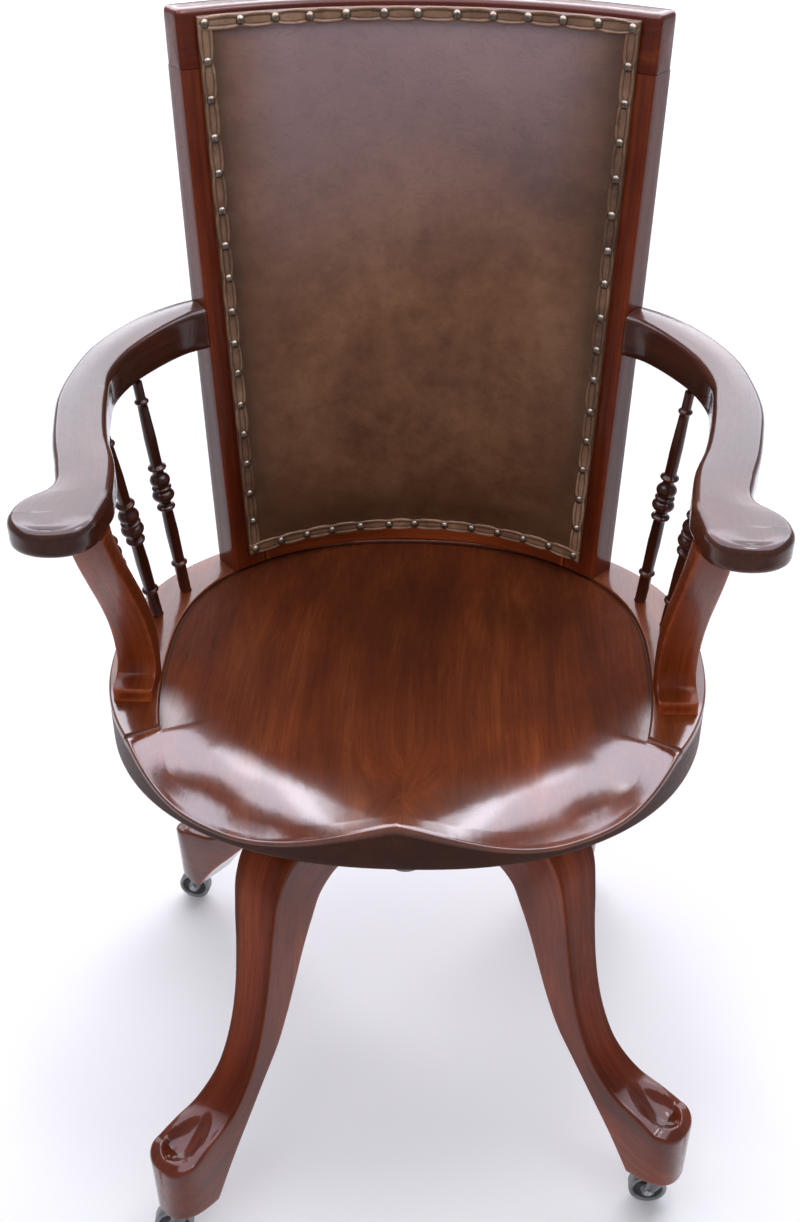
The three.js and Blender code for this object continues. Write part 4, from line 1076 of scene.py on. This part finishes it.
def leg_shape():
    path = spline(LEG, 150)
    nose = []
    for a in np.radians(np.linspace(6, 86, 14)):
        out = math.sin(a)
        tip = CASTOR_REACH + TOE_LENGTH
        half = TOE_HALF_WIDTH * math.cos(a) ** 0.75
        under = mix(308, tip, out**0.8)
        nose.append((CASTOR_REACH + TOE_LENGTH * out, TOE_TOP - 9 * out**2.5, under, TOE_BOTTOM, half))
    path = np.vstack([path, nose])
    rings, lay, waxed, painted_shade = [], [], [], []
    run = np.cumsum(np.append(0, np.hypot(*np.diff(path[:, :2], axis=0).T)))
    for (top_r, top_z, low_r, low_z, half), along in zip(path, run):
        depth = math.hypot(top_r - low_r, top_z - low_z)
        radius = min(3.2, 0.35 * half, 0.35 * depth)
        section = rounded(half, depth / 2, (radius, radius, 2, 2), 5, 18)
        down = 0.5 - section[:, 1] / depth
        r, z = mix(top_r, low_r, down), mix(top_z, max(low_z, TOE_BOTTOM), down)
        z = z + 1.6 * (1 - (section[:, 0] / half) ** 2) * (down < 0.01)
        outer = (1 - smooth(down * depth, 1.0, 4.0)) * (1 - smooth(top_r, 275, 300))
        waxed.append(mix(1.0, 0.12, outer))
        # Painted shade darkens the outer face towards its edges, from the knee down.
        painted_shade.append(0.55 * outer * smooth(np.abs(section[:, 0]) / half, 0.35, 1) * smooth(top_r, 150, 215))
        rings.append(np.column_stack([r, section[:, 0], z]))
        lay.append(np.column_stack([np.full(len(r), along), section[:, 0], down * depth]))
    rings, lay = np.array(rings), np.array(lay)
    middle, fore, aft, half_y, deep = SCOOP
    ahead = rings[:, :, 0] - middle
    place = np.hypot(ahead / np.where(ahead > 0, fore, aft), rings[:, :, 1] / half_y)
    on_top = lay[:, :, 2] < 0.01
    steep = mix(1.6, 0.62, smooth(ahead, -24, 16))
    bowl = deep * np.clip(1 - place**2, 0, 1) ** steep
    lip = 1.2 * np.exp(-(((place - 1.1) / 0.16) ** 2)) * smooth(ahead, -10, 8)
    rings[:, :, 2] += on_top * (lip - bowl)
    extra = {"waxed": np.append(waxed, [1, 1]), "painted_shade": np.append(painted_shade, [0, 0])}
    return skin(rings, lay), extra


def hub_block():
    half, flat = 56, 30
    outline = [
        (half, -flat), (half, flat), (flat, half), (-flat, half),
        (-half, flat), (-half, -flat), (-flat, -half), (flat, -half)]
    soft = []
    for k, corner in enumerate(outline):
        before, after = np.array(outline[k - 1]), np.array(outline[(k + 1) % 8])
        corner = np.array(corner)
        one = corner + (before - corner) / np.linalg.norm(before - corner) * 4
        two = corner + (after - corner) / np.linalg.norm(after - corner) * 4
        for t in np.linspace(0, 1, 5):
            soft.append(mix(mix(one, corner, t), mix(corner, two, t), t))
    v, f, g = slab(soft, 318, 402, 3.0, 4)
    return v, f, g[:, [2, 0, 1]]


def hub_drop():
    knots = [(48, 318.5), (48.5, 314), (47, 310.5), (44, 309)]
    for a in np.radians(np.linspace(0, 90, 7)):
        knots.append((30 + 14 * (1 - math.sin(a)), 309 - 9 * (1 - math.cos(a))))
    knots += [(31, 299), (36.5, 297), (40.3, 291)]
    knots += [(40 + 1.6 * math.sin(a), 290 - 8 * (a / math.pi)) for a in np.linspace(0, math.pi, 8)]
    knots += [(36, 277), (31, 273.5), (30, 272), (20.6, 272)]
    return lathe([(20.6, 318.5)] + knots, 64)


def screw(low, high, radius=14.0, pitch=10.0, deep=1.8, segments=60, step=0.7):
    z = np.arange(low, high + step / 2, step)
    a = np.linspace(0, 2 * math.pi, segments, endpoint=False)
    phase = (z[:, None] / pitch - a[None, :] / (2 * math.pi)) % 1
    thread = smooth(phase, 0.08, 0.28) * (1 - smooth(phase, 0.58, 0.78))
    r = radius - deep * (1 - thread)
    r[0] = r[-1] = radius - deep - 1
    rings = np.stack([r * np.cos(a), r * np.sin(a), np.broadcast_to(z[:, None], r.shape)], 2)
    return skin(rings, rings)


def flat_ring(inner, outer, low, high, bevel=0.8):
    outside = [(outer - bevel, low), (outer, low + bevel), (outer, high - bevel), (outer - bevel, high)]
    return ring_lathe([(inner, low)] + outside + [(inner, high)], 64)


def hand_nut():
    """A nut with eight scallops for the fingers, bored through the middle."""
    a = np.linspace(0, 2 * math.pi, 160, endpoint=False)
    scallops = 32.4 - 2.3 * np.abs(np.cos(4 * a)) ** 3
    bore = np.full(len(a), 14.6)
    rings = []
    for r, rise in (
            (bore, 0), (scallops - 1.0, 0), (scallops, 1.0), (scallops, 5.5), (scallops, 11.2),
            (scallops - 1.0, 12.2), (scallops - 7, 12.7), (bore, 12.7)):
        rings.append(np.column_stack([r * np.cos(a), r * np.sin(a), np.full(len(a), 410.3 + rise)]))
    rings = np.array(rings)
    return skin(rings, rings, looped=True)


def under_plate():
    arm = rounded(95, 13, (5,) * 4, 4, 3)
    one = slab(arm, 427.7, 432.7, 1.0)
    two = slab(arm[:, ::-1], 427.9, 432.6, 1.0)
    boss = ring_lathe([(14.5, 424), (23, 424), (26, 427), (26.8, 432), (14.5, 432)], 64)
    heads = []
    for x, y in ((-82, 0), (82, 0), (0, -82), (0, 82), (-52, 0), (52, 0), (0, -52), (0, 52)):
        v, f, g = lathe([(0, 424.6), (3, 424.7), (5, 425.6), (6, 427.9), (0, 427.9)], 20)
        heads.append((v + [x, y, 0], f, g + [x, y, 0]))
    return together(one, two, boss, *heads)


piece("under_seat_plate", under_plate(), IRON, "seat", ["seat_plate"])
piece("threaded_screw", screw(266, 432.7), STEEL, "seat", ["lift_screw"], 50)
piece("nut_wheel", hand_nut(), IRON, "nut", ["height_nut"], 35)
piece("collar", flat_ring(15, 34, 405.8, 410), STEEL, "carrier", ["thrust_collar"])
sleeve = ring_lathe([
    (15.2, 258), (19.2, 258), (20, 258.8), (20, 402.3), (39.2, 402.3), (40, 403), (40, 404.7),
    (39.2, 405.5), (15.2, 405.5)], 64)
piece("hub_bush", sleeve, IRON, "base", ["hub_sleeve"])
piece("hub_block", hub_block(), LEG_WOOD, "base", ["hub"], on_base=BASE_TURN + 45)
piece("hub_turning", hub_drop(), LEG_WOOD, "base", ["hub"], 50, on_base=BASE_TURN)


def arc(cx, cy, radius, start, stop, count):
    angles = np.radians(np.linspace(start, stop, count))
    return [(cx + radius * math.cos(a), cy + radius * math.sin(a)) for a in angles]


def fork_shape():
    """A cast horn castor: two curved cheeks from a domed crown, with the stem above."""
    cheek = [(9, 41.6), (-4.6, 41.6), (-5, 37.5), (-2.2, 29), (2.2, 22)]
    cheek += arc(CASTOR_TRAIL, AXLE_Z, 6.0, 170, 350, 14) + [(14.2, 24), (12.3, 31), (11, 38)]
    shapes = [upended(slab(cheek, low, high, 0.7, 3)) for low, high in ((8.0, 10.4), (-10.4, -8.0))]
    crown = slab(rounded(7.2, 10.3, (4,) * 4, 5, 2) + [3.4, 0], 39.6, 42.4, 0.9)
    neck = lathe([(0, 41), (8.2, 41), (8.2, 42.2), (7.4, 42.9), (7.2, 43.7), (0, 43.7)], 32)
    return together(*shapes, crown, neck)


def wheel_shape():
    near = [
        (3.3, -7), (5.4, -7.2), (6.6, -6.6), (7.2, -5.2), (9, -4.9), (13.2, -4.9), (14.0, -5.5), (15.2, -6.9),
        (16.6, -7), (18.3, -6.3), (AXLE_Z, -4.6)]
    profile = near + [(radius, -out) for radius, out in near[::-1]]
    return upended(ring_lathe(profile, 64), AXLE_Z, CASTOR_TRAIL)


def axle_shape():
    side = [(0, 12.6), (1.6, 12.5), (2.9, 12.0), (3.6, 11.2), (3.7, 10.5), (2.95, 10.4)]
    profile = [(r, -h) for r, h in side] + [(r, h) for r, h in side[::-1]]
    return upended(lathe(profile, 28), AXLE_Z, CASTOR_TRAIL)


def plate_shape():
    plate = lathe([
        (0, 44), (9, 44), (10.6, 44.5), (11.2, 45.4), (16.2, 45.5), (17, 46.2), (17, 47.7), (0, 47.7)], 48)
    heads = []
    for a in np.radians([45, 135, 225, 315]):
        v, f, g = lathe([(0, 44.9), (1.4, 45.0), (2.1, 45.6), (0, 45.6)], 14)
        heads.append((v + [14 * math.cos(a), 14 * math.sin(a), 0], f, g))
    return together(plate, *heads)


for corner, (angle, trail) in CORNERS.items():
    at = turn(np.array([[CASTOR_REACH, 0, 0]]), angle + BASE_TURN)[0]

    def at_foot(shape, trail=trail, at=at):
        verts, faces, lay = shape
        return turn(verts, trail) + at, faces, lay

    # finish holds the leg's waxed coat and its painted shade.
    (v, f, g), finish = leg_shape()
    leg = v, f, g + [0, angle * 3, 0]
    castor, wheel = "castor_" + corner, "wheel_" + corner
    plate, fork, disc, pin = (at_foot(make()) for make in (plate_shape, fork_shape, wheel_shape, axle_shape))
    piece("cabriole_leg_" + corner, leg, LEG_WOOD, "base", ["leg_" + corner], 42, finish,
          angle + BASE_TURN)
    piece("foot_plate_" + corner, plate, IRON, "base", ["castor_plate_" + corner])
    piece("castor_horn_" + corner, fork, WHEEL, castor, ["castor_fork_" + corner])
    piece("wheel_disc_" + corner, disc, WHEEL, wheel, ["castor_wheel_" + corner], 50)
    piece("axle_pin_" + corner, pin, STEEL, castor, ["castor_axle_" + corner])

# The nodes that no piece replaces stay as they are, with a material of their own.
for name, node in frame["nodes"].items():
    if not node.hide_render:
        node.data.materials.clear()
        node.data.materials.append(INNER_WOOD if name == "back_board" else PLAIN_IRON)

# ------------------------------------------------------------------ floor, light and camera
# The floor is pale under the chair and painted greyer in front of it, a painted shade that darkens its
# reflection in the front edges.
FLOOR_HALF = 30
GREY_FROM_Y, PALE_FROM_Y = -0.95, -0.3
floor_look = Look("pale_floor")
floor_at = floor_look.add("TexCoord", out=3)
speckle = floor_look.noise(floor_at, (1.2, 1.2, 1.2), 3, 0.5)
forward = floor_look.add("SeparateXYZ", {0: floor_at}, out=1)
forward = floor_look.add("MapRange", {0: forward, 1: GREY_FROM_Y, 2: PALE_FROM_Y})
painted_floor_shade = floor_look.ramp(forward, (0.0, 0.35), (1.0, 1.0))
speckle = floor_look.ramp(speckle, (0.3, (0.86, 0.86, 0.865)), (0.7, (0.90, 0.90, 0.905)))
floor_colour = floor_look.blend(1.0, speckle, painted_floor_shade, "MULTIPLY")
floor_look.finish(Base_Color=floor_colour, Roughness=0.75, Specular_IOR_Level=0.2)
floor_mesh = bpy.data.meshes.new("floor")
floor_corners = [(x * FLOOR_HALF, y * FLOOR_HALF, 0) for x, y in ((-1, -1), (1, -1), (1, 1), (-1, 1))]
floor_mesh.from_pydata(floor_corners, [], [(0, 1, 2, 3)])
floor_mesh.materials.append(floor_look.material)
floor = bpy.data.objects.new("floor", floor_mesh)
bpy.context.scene.collection.objects.link(floor)

world = bpy.data.worlds.new("studio")
bpy.context.scene.world = world
world.use_nodes = True
sky = world.node_tree
direction = sky.nodes.new("ShaderNodeTexCoord").outputs[0]
parts = sky.nodes.new("ShaderNodeSeparateXYZ")
sky.links.new(direction, parts.inputs[0])
rise = sky.nodes.new("ShaderNodeValToRGB")
rise.color_ramp.elements[0].position, rise.color_ramp.elements[0].color = 0.0, (0.94, 0.94, 0.96, 1)
rise.color_ramp.elements[1].position, rise.color_ramp.elements[1].color = 1.0, (0.80, 0.84, 1.0, 1)
sky.links.new(parts.outputs[2], rise.inputs[0])
background = sky.nodes["Background"]
sky.links.new(rise.outputs[0], background.inputs[0])
background.inputs[1].default_value = 0.42


def panel(name, place, target, width, height, radiance, colour, glossy=True, diffuse=True):
    """A soft panel light given by its radiance, which can be left out of reflections or of plain light."""
    light = bpy.data.lights.new(name, "AREA")
    light.shape = "RECTANGLE"
    light.size, light.size_y = width, height
    light.energy = radiance * math.pi * width * height
    light.color = colour
    made = bpy.data.objects.new(name, light)
    made.location = place
    made.rotation_euler = (Vector(target) - Vector(place)).to_track_quat("-Z", "Y").to_euler()
    made.visible_glossy, made.visible_diffuse = glossy, diffuse
    bpy.context.scene.collection.objects.link(made)


panel("back_sky", (0, 9.0, 6.8), (0, 0, 0.7), 17.0, 8.6, 3.7, (0.93, 0.92, 1.0))
panel("overhead", (0, 0.35, 2.8), (0, 0.35, 0.5), 4.4, 3.4, 4.2, (0.88, 0.86, 1.0), diffuse=False)
panel("high_window", (0.55, -0.1, 2.6), (0.1, -0.1, 0.5), 0.5, 0.3, 14.0, (1.0, 0.97, 0.93))
panel("top_fill", (-0.3, 0.2, 3.9), (0, 0, 0.5), 2.8, 1.6, 2.6, (0.96, 0.96, 1.0), glossy=False)
panel("front_fill", (-0.9, -3.6, 2.0), (0, 0, 0.7), 3.0, 1.6, 2.8, (1.0, 0.97, 0.95), glossy=False)

lens = bpy.data.cameras.new("camera")
camera = bpy.data.objects.new("camera", lens)
bpy.context.scene.collection.objects.link(camera)
bpy.context.scene.camera = camera
lens.sensor_width = 36
lens.sensor_fit = "AUTO"
lens.lens = 42.46645
lens.shift_x = -0.009329
lens.shift_y = 0.021604
lens.clip_end = 200
CAMERA_PLACE = (0.045, -1.134, 1.276)
pitch, yaw, roll = (math.radians(v) for v in (-33.914, -2.063, 0.178))
ahead = Vector((math.sin(yaw) * math.cos(pitch), math.cos(yaw) * math.cos(pitch), math.sin(pitch)))
right = Vector((math.cos(yaw), -math.sin(yaw), 0))
up = right.cross(ahead)
right, up = right * math.cos(roll) + up * math.sin(roll), up * math.cos(roll) - right * math.sin(roll)
facing = Matrix((right, up, -ahead)).transposed()
camera.matrix_world = Matrix.LocRotScale(Vector(CAMERA_PLACE), facing, None)
bpy.context.scene.view_settings.view_transform = "Standard"
